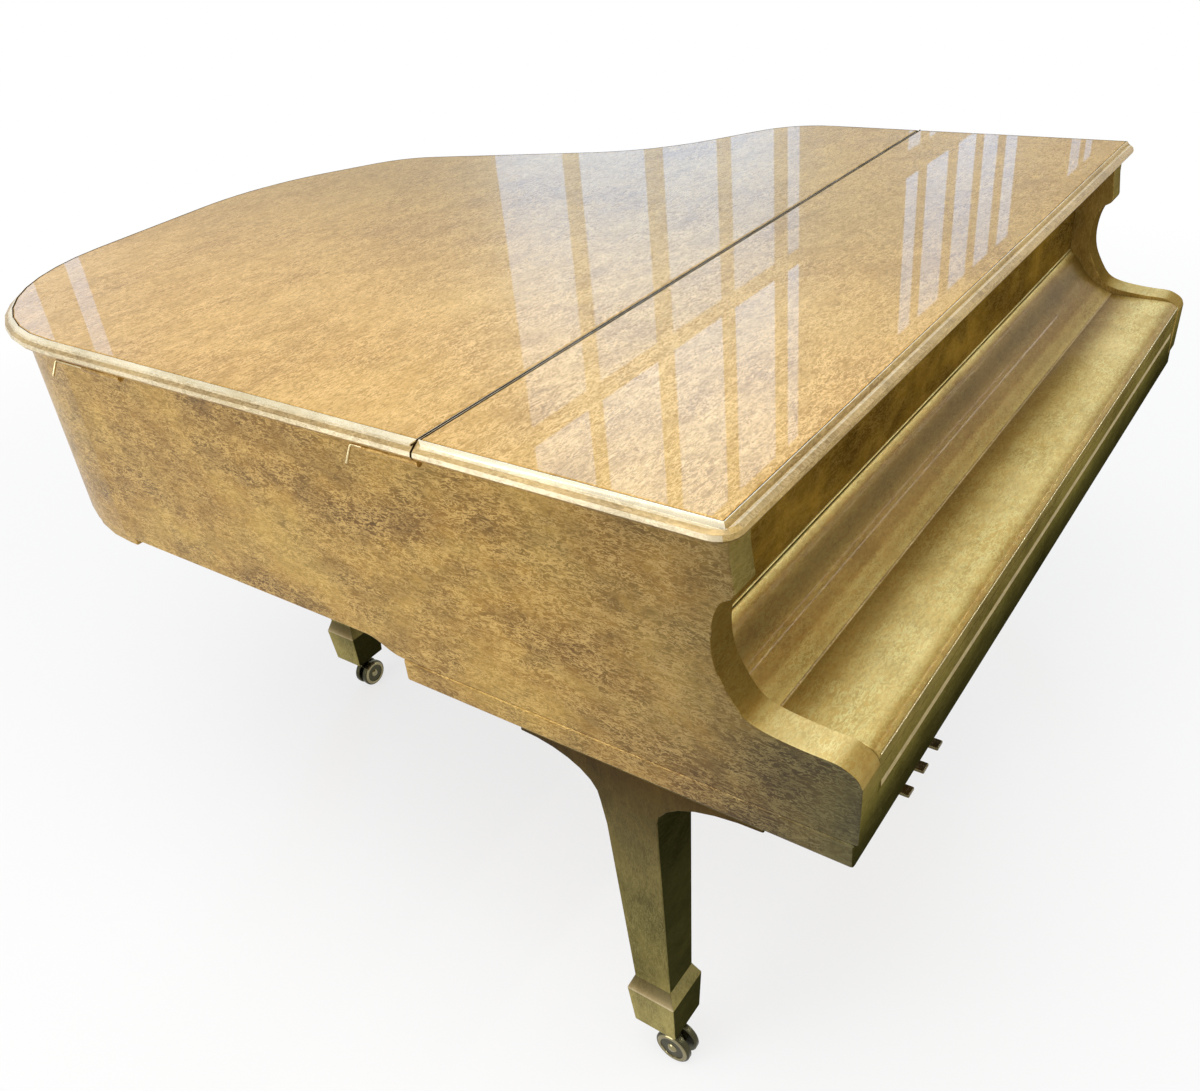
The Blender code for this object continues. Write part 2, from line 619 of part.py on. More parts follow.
def bridge_bar(name, first, last, parent):
    """A bridge that follows the rim, glued on the soundboard under the strings."""
    steps = 12
    xs = [first + (last - first) * i / steps for i in range(steps + 1)]
    rears = [(x, reach(x, RIM_IN + STRING_END) - BRIDGE_SETBACK) for x in xs]
    fronts = [(x, y - BRIDGE_WIDTH) for x, y in reversed(rears)]
    low = INNER_RIM_TOP + 2 * SEAT + SOUNDBOARD_THICK
    body(name, plan_prism(rears + fronts, low, STRING_Z - SEAT), MAPLE, parent)


def sounding_pieces(parent):
    body("pin_block", block((-BETWEEN_ARMS, BETWEEN_ARMS), (PIN_BLOCK_FRONT, PIN_BLOCK_REAR),
                            (PIN_BLOCK_BOTTOM, PLATE_BOTTOM - SEAT)), MAPLE, parent, False)
    plate = body("iron_plate", plan_prism(case_path(RIM_IN + SEAT, PIN_BLOCK_FRONT), PLATE_BOTTOM,
                                          PLATE_BOTTOM + PLATE_THICK), IRON, parent)
    for i in range(PLATE_OPENINGS):
        x0 = PLATE_FIRST_X + i * (PLATE_OPEN + PLATE_WEB)
        x1 = x0 + PLATE_OPEN
        inside = RIM_IN + PLATE_EDGE
        corners = [(x0, PLATE_OPEN_FRONT), (x0, reach(x0, inside)), (x1, reach(x1, inside)),
                   (x1, PLATE_OPEN_FRONT)]
        boolean(plate, plan_prism(corners, PLATE_BOTTOM - PLATE_THICK, PLATE_BOTTOM + 2 * PLATE_THICK),
                "DIFFERENCE")
    string_comb("treble_strings", *TREBLE_STRINGS, parent)
    string_comb("bass_strings", *BASS_STRINGS, parent)
    bridge_bar("treble_bridge", TREBLE_STRINGS[1], TREBLE_STRINGS[2], parent)
    bridge_bar("bass_bridge", BASS_STRINGS[1], BASS_STRINGS[2], parent)


def music_rest(parent):
    for hand, side in ((-1, "bass"), (1, "treble")):
        span = sorted((hand * (BETWEEN_ARMS - SHELF_RAIL), hand * BETWEEN_ARMS))
        rail = block(span, SHELF_RAIL_Y, (SHELF_BOTTOM - SEAT - SHELF_RAIL_HEIGHT, SHELF_BOTTOM - SEAT))
        body(f"shelf_rail_{side}", rail, SHADED_LEAF, parent, False)
    half = ARM_INNER_X - SHELF_PLAY
    top = SHELF_BOTTOM + SHELF_THICK
    body("music_shelf", block((-half, half), (SHELF_FRONT, SHELF_REAR), (SHELF_BOTTOM, top)),
         SHADED_LEAF, parent, False)
    low = top + 2 * SEAT
    desk = block((-DESK_HALF, DESK_HALF), (DESK_FRONT, DESK_FRONT + DESK_LENGTH), (low, low + DESK_THICK))
    set_origin(body("music_desk", desk, GOLD_LEAF, parent, False), (0, DESK_FRONT, low))


def lid_shape(path_at):
    """A lid board with its moulded edge, from the edge path at several insets."""
    levels = ((LIP_UNDERCUT, LID_BOTTOM), (0.0, LID_BOTTOM + LIP_HEIGHT),
              (LIP_UNDERCUT / 2, LID_BOTTOM + MOULD_STEP), (MOULD_WIDTH, LID_TOP))
    mesh = bmesh.new()
    rings = [[mesh.verts.new((x, y, z)) for x, y in path_at(inset)] for inset, z in levels]
    mesh.faces.new(list(reversed(rings[0])))
    mesh.faces.new(rings[-1])
    for low, high in zip(rings, rings[1:]):
        for i in range(len(low)):
            j = (i + 1) % len(low)
            mesh.faces.new((low[i], low[j], high[j], high[i]))
    return mesh


def lid(parent):
    main = body("lid_main", lid_shape(lambda inset: case_path(inset, SEAM_Y + SEAM_GAP / 2)), GOLD_LEAF, parent)
    set_origin(main, (HINGE_X, 0, HINGE_Z))
    rear = SEAM_Y - SEAM_GAP / 2
    corners = ((HALF_WIDTH, rear), (HALF_WIDTH, 0.0), (-HALF_WIDTH, 0.0), (-HALF_WIDTH, rear))
    radii = (FLAP_CORNER + MOULD_WIDTH, FLAP_CORNER + MOULD_WIDTH)
    flap = body("lid_flap", lid_shape(lambda inset: edge_path(corners, radii, inset, 5)), GOLD_LEAF, parent)
    set_origin(flap, (0, SEAM_Y, LID_TOP + FLAP_AXIS_RISE))


def circle(centre_x, centre_z, radius, start, end, steps):
    return [(centre_x + radius * math.cos(start + (end - start) * i / steps),
             centre_z + radius * math.sin(start + (end - start) * i / steps)) for i in range(steps + 1)]


def lid_hinges(parent):
    """Two hinges on the spine: a leaf on the rim, a leaf under the lid, and a pin that draws out to the rear."""
    rim_low = RIM_TOP + SEAT
    web = -ARM_OUTER_X - SEAT
    inner = -ARM_OUTER_X + LEAF_DEPTH
    rim_leaf = [(inner, rim_low), (inner, rim_low + LEAF_THICK), (web - LEAF_THICK, rim_low + LEAF_THICK),
                (web - LEAF_THICK, HINGE_Z + 2 * LEAF_THICK), (HINGE_X, HINGE_Z + 2 * LEAF_THICK),
                *circle(HINGE_X, HINGE_Z, KNUCKLE_RADIUS, math.radians(100), math.radians(335), 10),
                (web, HINGE_Z - 2 * LEAF_THICK), (web, rim_low)]
    lid_low = LID_BOTTOM - SEAT - LEAF_THICK
    lid_leaf = [(inner, lid_low), (inner, lid_low + LEAF_THICK), (HINGE_X - LEAF_THICK, lid_low + LEAF_THICK),
                (HINGE_X - LEAF_THICK, HINGE_Z + KNUCKLE_RADIUS / 2),
                *circle(HINGE_X, HINGE_Z, KNUCKLE_RADIUS, math.radians(120), math.radians(420), 12),
                (HINGE_X + LEAF_THICK, HINGE_Z + KNUCKLE_RADIUS / 2), (HINGE_X + LEAF_THICK, lid_low)]
    for place, y, drawn in HINGES:
        body(f"hinge_rim_leaf_{place}", front_prism(rim_leaf, y, y + KNUCKLE), BRASS, parent)
        lid_start = y + KNUCKLE + SEAT
        body(f"hinge_lid_leaf_{place}", front_prism(lid_leaf, lid_start, lid_start + KNUCKLE), BRASS, parent)
        start = lid_start + KNUCKLE + SEAT
        pin = body(f"hinge_pin_{place}", hinge_pin(start, drawn), BRASS, parent)
        set_origin(pin, (HINGE_X, start, HINGE_Z))


def hinge_pin(start, drawn):
    """The shown end of a hinge pin, bent into a handle that points out and down."""
    mesh = bmesh.new()
    made = bmesh.ops.create_circle(mesh, cap_ends=True, segments=10, radius=PIN_RADIUS)
    turn = Matrix.Translation((HINGE_X, start, HINGE_Z)) @ Matrix.Rotation(math.radians(90), 4, "X")
    bmesh.ops.transform(mesh, matrix=turn, verts=made["verts"])
    face = mesh.faces[:][0]
    down = Vector((-math.sin(PIN_TILT), 0, -math.cos(PIN_TILT)))
    half_turn = Matrix.Rotation(math.radians(45), 3, Vector((0, 1, 0)).cross(down))
    elbow = Vector((0, PIN_RADIUS, 0)) + down * PIN_RADIUS
    for number, move in enumerate((Vector((0, drawn, 0)), elbow, down * PIN_HANDLE)):
        made = bmesh.ops.extrude_face_region(mesh, geom=[face])
        verts = [item for item in made["geom"] if isinstance(item, bmesh.types.BMVert)]
        bmesh.ops.translate(mesh, verts=verts, vec=move)
        if number:
            centre = sum((vert.co for vert in verts), Vector()) / len(verts)
            bmesh.ops.rotate(mesh, cent=centre, matrix=half_turn, verts=verts)
            bmesh.ops.delete(mesh, geom=[face], context="FACES_ONLY")
        face = [item for item in made["geom"] if isinstance(item, bmesh.types.BMFace)][0]
    return mesh


def prop_axes():
    """The stowed prop's direction, the level direction across it, and its leaning hinge axis."""
    along = Vector((-math.sin(PROP_SWEEP), math.cos(PROP_SWEEP), 0))
    across = Vector((math.cos(PROP_SWEEP), math.sin(PROP_SWEEP), 0))
    hinge = Matrix.Rotation(PROP_LEAN, 3, along) @ Vector((0, 0, 1))
    return along, across, hinge


def lid_prop(parent):
    along, across, hinge = prop_axes()
    base = Vector(PROP_BASE)
    frame = Matrix((along.cross(hinge), along, hinge)).transposed().to_4x4()
    frame.translation = base
    steps = 8
    turns = [math.pi + math.pi * i / steps for i in range(steps + 1)]
    round_end = [(PROP_HALF * math.cos(turn), PROP_HALF * math.sin(turn)) for turn in turns]
    outline = round_end + [(PROP_HALF, PROP_LENGTH), (-PROP_HALF, PROP_LENGTH)]
    stick = plan_prism(outline, -PROP_HALF, PROP_HALF)
    stick.transform(frame)
    set_origin(body("prop_stick", stick, GOLD_LEAF, parent), base)
    slot = PROP_HALF + SEAT
    jaw = slot + PROP_CHEEK
    clevis = [(-PROP_BACK, -jaw), (PROP_JAW, -jaw), (PROP_JAW, -slot), (-slot, -slot), (-slot, slot),
              (PROP_JAW, slot), (PROP_JAW, jaw), (-PROP_BACK, jaw)]
    bracket = side_prism(clevis, -PROP_HALF, PROP_HALF)
    bracket.transform(frame)
    body("prop_bracket", bracket, BRASS, parent, False)
    near = PROP_BACK + SEAT
    points = []
    for distance in (near, near + PROP_BLOCK_DEPTH):
        left = base - along * distance - across * PROP_BLOCK_SIDE
        points.append((left.x, left.y))
    for distance in (near + PROP_BLOCK_DEPTH, near):
        centre = base - along * distance
        right = centre + across * (BETWEEN_ARMS - centre.x) / across.x
        points.append((BETWEEN_ARMS, right.y))
    low = PLATE_BOTTOM + PLATE_THICK + SEAT
    body("prop_block", plan_prism(points, low, base.z + PROP_BLOCK_SIDE), SHADED_LEAF, parent, False)


def leg(name, x, y, top, front, rear, parent):
    """A square tapering leg with a curved bracket at its head and a block foot."""
    steps = 7
    neck = LEG_HALF_TOP
    start = top - BRACKET_EDGE
    turns = [math.pi / 2 * i / steps for i in range(steps + 1)]
    curve = [(1 - math.sin(turn), start - (start - LEG_NECK) * (1 - math.cos(turn))) for turn in turns]
    curve_rear = [(y + neck + (rear - y - neck) * share, height) for share, height in curve]
    curve_front = [(y - neck - (y - neck - front) * share, height) for share, height in curve]
    outline = [(front, top), (rear, top), *curve_rear, *reversed(curve_front)]
    mesh = side_prism(outline, x - neck, x + neck)
    face = min(mesh.faces, key=lambda item: item.calc_center_median().z)
    for height, half in LEG_SECTIONS:
        face = bmesh.ops.extrude_discrete_faces(mesh, faces=[face])["faces"][0]
        for vert in face.verts:
            vert.co.x = x + (half if vert.co.x > x else -half)
            vert.co.y = y + (half if vert.co.y > y else -half)
            vert.co.z = height
    body(name, mesh, SHADED_LEAF, parent, False)


def caster(name, x, y, heading, parent):
    """A swivelling yoke and its pair of wheels; heading is where the wheels trail."""
    foot = LEG_SECTIONS[-1][0]
    neck_top = foot - SEAT
    eye = AXLE_RADIUS + AXLE_PLAY
    outline = [(FORK_NECK, neck_top), (-FORK_NECK, neck_top), (-FORK_NECK, WHEEL_RADIUS * 2)]
    ring = [(TRAIL + FORK_EYE * math.cos(angle), WHEEL_RADIUS + FORK_EYE * math.sin(angle))
            for angle in [math.radians(150 + 18 * i) for i in range(13)]]
    outline += ring + [(FORK_NECK + TRAIL / 2, WHEEL_RADIUS * 2)]
    yoke = side_prism(outline, -FORK_THICK / 2, FORK_THICK / 2)
    place = Matrix.Translation((x, y, 0)) @ Matrix.Rotation(heading, 4, "Z")
    yoke.transform(place)
    piece = body(f"caster_yoke_{name}", yoke, BRASS, parent, False)
    sideways = Matrix.Rotation(math.radians(90), 4, "Y")
    hole = turned(((0, -FORK_THICK), (eye, -FORK_THICK), (eye, FORK_THICK), (0, FORK_THICK)), 20)
    hole.transform(place @ Matrix.Translation((0, TRAIL, WHEEL_RADIUS)) @ sideways)
    boolean(piece, hole, "DIFFERENCE")
    set_origin(piece, (x, y, foot))
    inner = WHEEL_GAP / 2
    outer = inner + WHEEL_WIDTH
    round_over = 0.002
    half = [(AXLE_RADIUS, inner), (WHEEL_RADIUS - round_over, inner), (WHEEL_RADIUS, inner + round_over),
            (WHEEL_RADIUS, outer - round_over), (WHEEL_RADIUS - round_over, outer), (0, outer)]
    wheels = turned([(radius, -across) for radius, across in reversed(half)] + half, 28)
    wheels.transform(place @ Matrix.Translation((0, TRAIL, WHEEL_RADIUS)) @ sideways)
    centre = place @ Vector((0, TRAIL, WHEEL_RADIUS))
    set_origin(body(f"caster_wheels_{name}", wheels, BRASS, parent), centre)


def legs_and_casters(parent):
    for hand, side in ((-1, "bass"), (1, "treble")):
        leg(f"leg_front_{side}", hand * LEG_X, LEG_FRONT_Y, KEYBED_BOTTOM - SEAT, BRACKET_FRONT, BRACKET_REAR, parent)
        caster(f"front_{side}", hand * LEG_X, LEG_FRONT_Y, math.pi, parent)
    x, y = LEG_REAR_XY
    top = INNER_RIM_BOTTOM - 2 * SEAT - BLOCK_HEIGHT
    leg("leg_rear", x, y, top, y - REAR_BRACKET, y + REAR_BRACKET, parent)
    caster("rear", x, y, math.radians(-90), parent)


def lyre(parent):
    top = KEYBED_BOTTOM - SEAT
    low = LYRE_BOX[1] + SEAT
    bar = top - LYRE_TOP_THICK
    inner, outer = LYRE_POST_X
    frame = [(-LYRE_TOP_HALF, top), (-LYRE_TOP_HALF, bar), (-outer, bar), (-outer, low), (-inner, low),
             (-inner, bar), (inner, bar), (inner, low), (outer, low), (outer, bar), (LYRE_TOP_HALF, bar),
             (LYRE_TOP_HALF, top)]
    body("lyre_frame", front_prism(frame, LYRE_FRONT, LYRE_FRONT + LYRE_THICK), SHADED_LEAF, parent, False)
    body("lyre_box", block((-LYRE_BOX_HALF, LYRE_BOX_HALF), (LYRE_BOX_FRONT, LYRE_BOX_REAR), LYRE_BOX),
         SHADED_LEAF, parent, False)
    stay_y = LYRE_BOX_REAR + SEAT
    stay = [(stay_y, LYRE_BOX[1] - STAY_WIDTH), (stay_y, LYRE_BOX[0] + STAY_WIDTH),
            (stay_y + STAY_WIDTH, LYRE_BOX[0] + STAY_WIDTH), (STAY_FOOT, top), (STAY_FOOT - STAY_WIDTH, top)]
    body("lyre_stay", side_prism(stay, -STAY_WIDTH / 2, STAY_WIDTH / 2), BRASS, parent, False)
    rear = LYRE_BOX_FRONT - CAP_GAP
    for index, place in enumerate(("left", "middle", "right")):
        x = (index - 1) * PEDAL_PITCH
        pedal = side_prism([(PEDAL_TIP, PEDAL_Z - PEDAL_THICK / 2), (rear, PEDAL_Z - PEDAL_THICK / 2),
                            (rear, PEDAL_Z + PEDAL_THICK / 2), (PEDAL_TIP, PEDAL_Z + PEDAL_THICK / 2)],
                           x - PEDAL_HALF, x + PEDAL_HALF)
        set_origin(body(f"pedal_{place}", pedal, BRASS, parent, False), (x, rear - PEDAL_PIVOT, PEDAL_Z))
        rod_x = (index - 1) * ROD_PITCH
        rod_top = bar - ROD_LIFT - 2 * SEAT
        rod = turned(((0, low), (ROD_RADIUS, low), (ROD_RADIUS, rod_top), (0, rod_top)), 12)
        rod.transform(Matrix.Translation((rod_x, LYRE_FRONT + LYRE_THICK / 2, 0)))
        body(f"pedal_rod_{place}", rod, BRASS, parent)


def build():
    clear_scene()
    piano = bpy.data.objects.new("piano", None)
    bpy.context.scene.collection.objects.link(piano)
    tail = max(y for _, y in case_path(0))
    piano.location = (0, (ARM_REACH - tail) / 2, 0)
    bpy.context.view_layer.update()
    case_pieces(piano)
    front_pieces(piano)
    keyboard(piano)
    action(piano)
    sounding_pieces(piano)
    music_rest(piano)
    lid(piano)
    lid_hinges(piano)
    lid_prop(piano)
    legs_and_casters(piano)
    lyre(piano)


build()
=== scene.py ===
"""The finish of a gilt grand piano: metal leaf under clear lacquer, brass, strings, keys and felts."""

import json
import math

import bmesh
import bpy
from mathutils import Matrix, Vector


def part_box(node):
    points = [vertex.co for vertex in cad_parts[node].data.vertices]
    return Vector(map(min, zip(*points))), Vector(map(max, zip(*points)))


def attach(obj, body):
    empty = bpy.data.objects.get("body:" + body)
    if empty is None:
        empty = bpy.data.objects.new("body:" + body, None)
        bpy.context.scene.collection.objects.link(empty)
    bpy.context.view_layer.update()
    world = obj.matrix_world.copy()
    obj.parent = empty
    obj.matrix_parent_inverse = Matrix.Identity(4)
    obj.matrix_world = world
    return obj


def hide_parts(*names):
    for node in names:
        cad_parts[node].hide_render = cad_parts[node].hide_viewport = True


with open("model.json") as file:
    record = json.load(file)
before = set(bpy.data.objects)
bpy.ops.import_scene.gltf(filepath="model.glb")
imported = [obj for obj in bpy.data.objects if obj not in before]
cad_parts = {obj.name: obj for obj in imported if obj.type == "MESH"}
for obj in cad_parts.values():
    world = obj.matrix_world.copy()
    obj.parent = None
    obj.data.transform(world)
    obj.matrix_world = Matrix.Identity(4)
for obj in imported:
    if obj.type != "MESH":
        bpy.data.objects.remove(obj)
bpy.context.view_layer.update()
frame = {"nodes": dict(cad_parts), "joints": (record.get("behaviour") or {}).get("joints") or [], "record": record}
RECORD = frame["record"]
BODY_OF = {node: body for body, nodes in RECORD["behaviour"]["bodies"].items() for node in nodes}
SLOT_OF = {part["node"]: part["material_slot"] for part in RECORD["subparts"]}
JOINTS = {joint["name"]: joint for joint in frame["joints"]}

# Camera, solved from the straight edges of the case
EYE = Vector((-1.49962, -1.15053, 1.56705))
YAW = math.radians(38.3155)
PITCH = math.radians(-32.3429)
ROLL = math.radians(-6.1327)
FOCAL_PIXELS = 1110.41
PHOTO_WIDTH = 1200
SENSOR_WIDTH = 36.0

# Studio lamps: name, place, target, size and power
LAMPS = (
    ("ceiling", (-1.2, -0.3, 3.5), (0.0, 0.0, 0.7), (2.6, 2.6), 68),
    ("spine_side", (-3.2, 1.0, 1.3), (-0.6, 0.3, 0.7), (2.0, 1.6), 36),
    ("tube_near", (1.5, -2.1, 2.0), (1.5, -0.75, 0.8), (6.0, 0.03), 14),
    ("tube_far", (1.5, -2.6, 2.0), (1.5, -0.75, 0.8), (6.0, 0.03), 14),
)
# Window panes in a wall beyond the tail: each group has columns, given by their left and right ends,
# and rows, given by their low and high ends and their glow
WALL_Y = 4.5
PANE_COLOUR = (0.22, 0.52, 1.0)
WINDOWS = (
    (((4.90, 5.70), (5.92, 6.87), (7.17, 8.12), (8.40, 9.30), (9.62, 9.90)),
     ((2.20, 4.62, 3.1), (4.81, 7.05, 5.2))),
    (((13.08, 13.50), (13.83, 14.64), (15.05, 15.80), (16.18, 16.87), (17.30, 17.90)),
     ((3.50, 4.31, 3.1), (4.67, 6.90, 4.3))),
    (((21.40, 22.10), (22.50, 23.00)), ((5.50, 6.80, 3.1),)),
    (((1.02, 1.25), (1.44, 1.53)), ((1.80, 2.80, 3.1),)),
)
WHITE = (1.0, 1.0, 1.0, 1.0)
ROOM_COLOUR = (1.0, 0.99, 0.97, 1.0)
ROOM_GLOW = 0.35
FLOOR_RADIUS = 9.0
FLOOR_FADE = {"From Min": 0.6, "From Max": 3.6, "To Min": 0.72, "To Max": 1.0}   # metres, then its whiteness

# Soft edges, in metres
FINE_EDGE = 0.0004
BRASS_EDGE = 0.0005
KEY_EDGE = 0.0006
SMALL_EDGE = 0.0008
BEAD_EDGE = 0.0009
LID_EDGE = 0.0012
YOKE_EDGE = 0.0018
FELT_EDGE = 0.0020
CASE_EDGE = 0.0022
PEDAL_EDGE = 0.0025
ROUND_EDGE = 0.0030
KEYBED_EDGE = 0.0040
BEVEL_FROM = math.radians(30)   # an edge that turns more than this is softened
SHARP_FROM = math.radians(35)   # and one that turns more than this isn't shaded smooth

TOUCH = 0.0002            # between a piece of the finish and what it seats on
MERGE = 1e-6              # points closer than this are one


def new_material(name, base, roughness, metallic=0.0, coat=0.0, coat_roughness=0.03):
    """A material, its node tree and its Principled shader, with the shader's own values set."""
    material = bpy.data.materials.new(name)
    material.use_nodes = True
    tree = material.node_tree
    shader = tree.nodes["Principled BSDF"]
    shader.inputs["Base Color"].default_value = (*base, 1.0)
    shader.inputs["Roughness"].default_value = roughness
    shader.inputs["Metallic"].default_value = metallic
    shader.inputs["Coat Weight"].default_value = coat
    shader.inputs["Coat Roughness"].default_value = coat_roughness
    return material, tree, shader


def add_node(tree, kind, values=None, **settings):
    """Adds a shader node with its settings and the values of its inputs."""
    node = tree.nodes.new(kind)
    for key, value in settings.items():
        setattr(node, key, value)
    for key, value in (values or {}).items():
        node.inputs[key].default_value = value
    return node


def noise(tree, scale, detail=3.0, distortion=0.0, stretch=(1.0, 1.0, 1.0), turn=0.0):
    """A noise over the piece's own metres; stretch squeezes the grain along each axis."""
    slant = (turn, 0.7 * turn, turn)
    place = add_node(tree, "ShaderNodeTexCoord")
    mapping = add_node(tree, "ShaderNodeMapping", {"Scale": stretch, "Rotation": slant})
    texture = add_node(tree, "ShaderNodeTexNoise",
                       {"Scale": scale, "Detail": detail, "Roughness": 0.6, "Distortion": distortion})
    tree.links.new(place.outputs["Object"], mapping.inputs["Vector"])
    tree.links.new(mapping.outputs["Vector"], texture.inputs["Vector"])
    return texture.outputs["Fac"]


def ramp(tree, source, stops):
    """Colours along a value, as (position, colour) stops."""
    node = add_node(tree, "ShaderNodeValToRGB")
    elements = node.color_ramp.elements
    while len(elements) < len(stops):
        elements.new(0.5)
    for element, (position, colour) in zip(elements, stops):
        element.position = position
        element.color = (*colour, 1.0)
    tree.links.new(source, node.inputs["Fac"])
    return node.outputs["Color"]


def grey(value):
    return (value, value, value)


def darker(colour, share):
    return tuple(part * share for part in colour)


def blend_colours(tree, factor, first, second, how="MIX"):
    """Blends two colours; each of the three may be a value or another node's output."""
    node = add_node(tree, "ShaderNodeMix", data_type="RGBA", blend_type=how)
    for key, value in (("Factor", factor), ("A", first), ("B", second)):
        if hasattr(value, "links"):
            tree.links.new(value, node.inputs[key])
        else:
            node.inputs[key].default_value = value
    return node.outputs["Result"]


def multiply(tree, first, second, share=1.0):
    return blend_colours(tree, share, first, second, "MULTIPLY")


def bump(tree, shader, height, strength, distance=0.0002):
    """Raises the surface by a value, without changing its shape."""
    node = add_node(tree, "ShaderNodeBump", {"Strength": strength, "Distance": distance})
    tree.links.new(height, node.inputs["Height"])
    tree.links.new(node.outputs["Normal"], shader.inputs["Normal"])


# The layers of a leaf: how close their noise is, its detail and its distortion
CLOUDS = (4.2, 5.0, 0.5)
PATCHES = (13.0, 4.5, 0.4)
GRAIN = (110.0, 4.0, 1.0)
CLUSTERS = (20.0, 5.0, 0.6)
PATCH_TURN = 0.35
THREADS = ((44.0, 0.75), (52.0, -0.5), (61.0, 0.12))   # the sets of fine strokes: how close, how far turned
THREAD_SWEEP = (1.0, 1.6)   # their detail and distortion
CURL = ((0.54, grey(0.0)), (0.60, grey(1.0)), (0.66, grey(0.0)))   # a thin line round each swell of a noise


def leaf(name, pale, middle, deep, along, strokes, clouds=1.0, coat=0.2, metallic=0.3, roughness=0.4,
         specular=0.25):
    """Metal leaf: brown and gold clouds under whirls of fine bright strokes, with clear lacquer on top.

    along holds the squeeze on each axis, so the strokes run along the axis with the small number."""
    material, tree, shader = new_material(name, middle, roughness, metallic, coat, 0.015)
    shader.inputs["Specular IOR Level"].default_value = specular
    wide = tuple(0.7 + part / 4 for part in along)
    tone = ramp(tree, noise(tree, *CLOUDS, wide), ((0.34, deep), (0.50, middle), (0.66, pale)))
    worn = ((0.34, grey(1 - 0.5 * clouds)), (0.60, grey(1.0)))
    tone = multiply(tree, tone, ramp(tree, noise(tree, *PATCHES, wide, PATCH_TURN), worn))
    pitted = ((0.36, grey(1 - 0.27 * strokes)), (0.56, grey(1.0)))
    grain = ramp(tree, noise(tree, *GRAIN, wide), pitted)
    tone = multiply(tree, tone, grain)
    drawn = (0.0, 0.0, 0.0, 1.0)
    for scale, turn in THREADS:
        sweep = noise(tree, scale, *THREAD_SWEEP, along, turn)
        drawn = blend_colours(tree, 1.0, drawn, ramp(tree, sweep, CURL), "LIGHTEN")
    gathered = ((0.36, grey(0.4 * strokes)), (0.56, grey(strokes)))
    drawn = multiply(tree, drawn, ramp(tree, noise(tree, *CLUSTERS, wide), gathered))
    lit = tuple(min(1.0, part * 1.25 + 0.13 * max(pale)) for part in pale)
    tone = blend_colours(tree, drawn, tone, (*lit, 1.0))
    tree.links.new(tone, shader.inputs["Base Color"])
    sheen = ramp(tree, grain, ((0.7, grey(roughness * 1.25)), (1.0, grey(roughness * 0.85))))
    tree.links.new(sheen, shader.inputs["Roughness"])
    bump(tree, shader, drawn, 0.2)
    return material


def shade_by(material, source, stops):
    """Multiplies a leaf's colour by tones read from a value, such as how far a face is turned: this paints light
    and shade into the leaf.
    """
    tree = material.node_tree
    base = tree.nodes["Principled BSDF"].inputs["Base Color"]
    tree.links.new(multiply(tree, base.links[0].from_socket, ramp(tree, source, stops)), base)


def fade_along(material, axis, start, end, stops):
    """Paints shade or a highlight into a leaf along one axis of the case, from start to end."""
    tree = material.node_tree
    place = add_node(tree, "ShaderNodeSeparateXYZ")
    tree.links.new(add_node(tree, "ShaderNodeTexCoord").outputs["Object"], place.inputs[0])
    share = add_node(tree, "ShaderNodeMapRange", {"From Min": start, "From Max": end})
    tree.links.new(place.outputs[axis], share.inputs["Value"])
    shade_by(material, share.outputs["Result"], stops)


def polished(name, colour, roughness, metallic=1.0):
    """Metal with faint smudges and hairlines."""
    material, tree, shader = new_material(name, colour, roughness, metallic)
    tone = ramp(tree, noise(tree, 55, 5.0, 0.6), ((0.35, darker(colour, 0.78)), (0.60, colour)))
    tree.links.new(tone, shader.inputs["Base Color"])
    smudged = ((0.35, grey(roughness * 0.75)), (0.7, grey(roughness * 1.5)))
    marks = ramp(tree, noise(tree, 140, 4.0, 0.4, (1, 1, 6)), smudged)
    tree.links.new(marks, shader.inputs["Roughness"])
    bump(tree, shader, marks, 0.08)
    return material


def timber(name, pale, dark, along=(14.0, 1.0, 14.0), roughness=0.45, coat=0.2):
    """Sawn wood with its grain along the small number in along."""
    material, tree, shader = new_material(name, pale, roughness, 0.0, coat, 0.2)
    grain = ramp(tree, noise(tree, 9, 7.0, 0.5, along), ((0.34, dark), (0.62, pale)))
    pores = ramp(tree, noise(tree, 60, 3.0, 0.2, along), ((0.40, grey(0.8)), (0.55, grey(1.0))))
    tree.links.new(multiply(tree, grain, pores, 0.8), shader.inputs["Base Color"])
    bump(tree, shader, pores, 0.15)
    return material


def soft_felt(name, colour):
    """Pressed wool with a fine nap."""
    material, tree, shader = new_material(name, colour, 0.95)
    shader.inputs["Sheen Weight"].default_value = 0.4
    nap = noise(tree, 900, 3.0, 0.5)
    tone = ramp(tree, nap, ((0.35, darker(colour, 0.7)), (0.65, colour)))
    tree.links.new(tone, shader.inputs["Base Color"])
    bump(tree, shader, nap, 0.5, 0.0005)
    return material


def gloss(name, colour, roughness, tint):
    """A hard glossy surface whose colour varies between itself and its tint."""
    material, tree, shader = new_material(name, colour, roughness, 0.0, 0.6, 0.05)
    tone = ramp(tree, noise(tree, 30, 3.0), ((0.35, darker(colour, tint)), (0.65, colour)))
    tree.links.new(tone, shader.inputs["Base Color"])
    return material


# Ways that the strokes of a leaf run
ALONG_KEYS = (1.0, 3.0, 3.0)
ALONG_CASE = (3.0, 1.0, 3.0)
UPRIGHT = (5.0, 5.0, 1.2)
ALL_WAYS = (3, 3, 3)
MATT = {"coat": 0.0, "metallic": 0.0, "roughness": 0.5, "specular": 0.0}

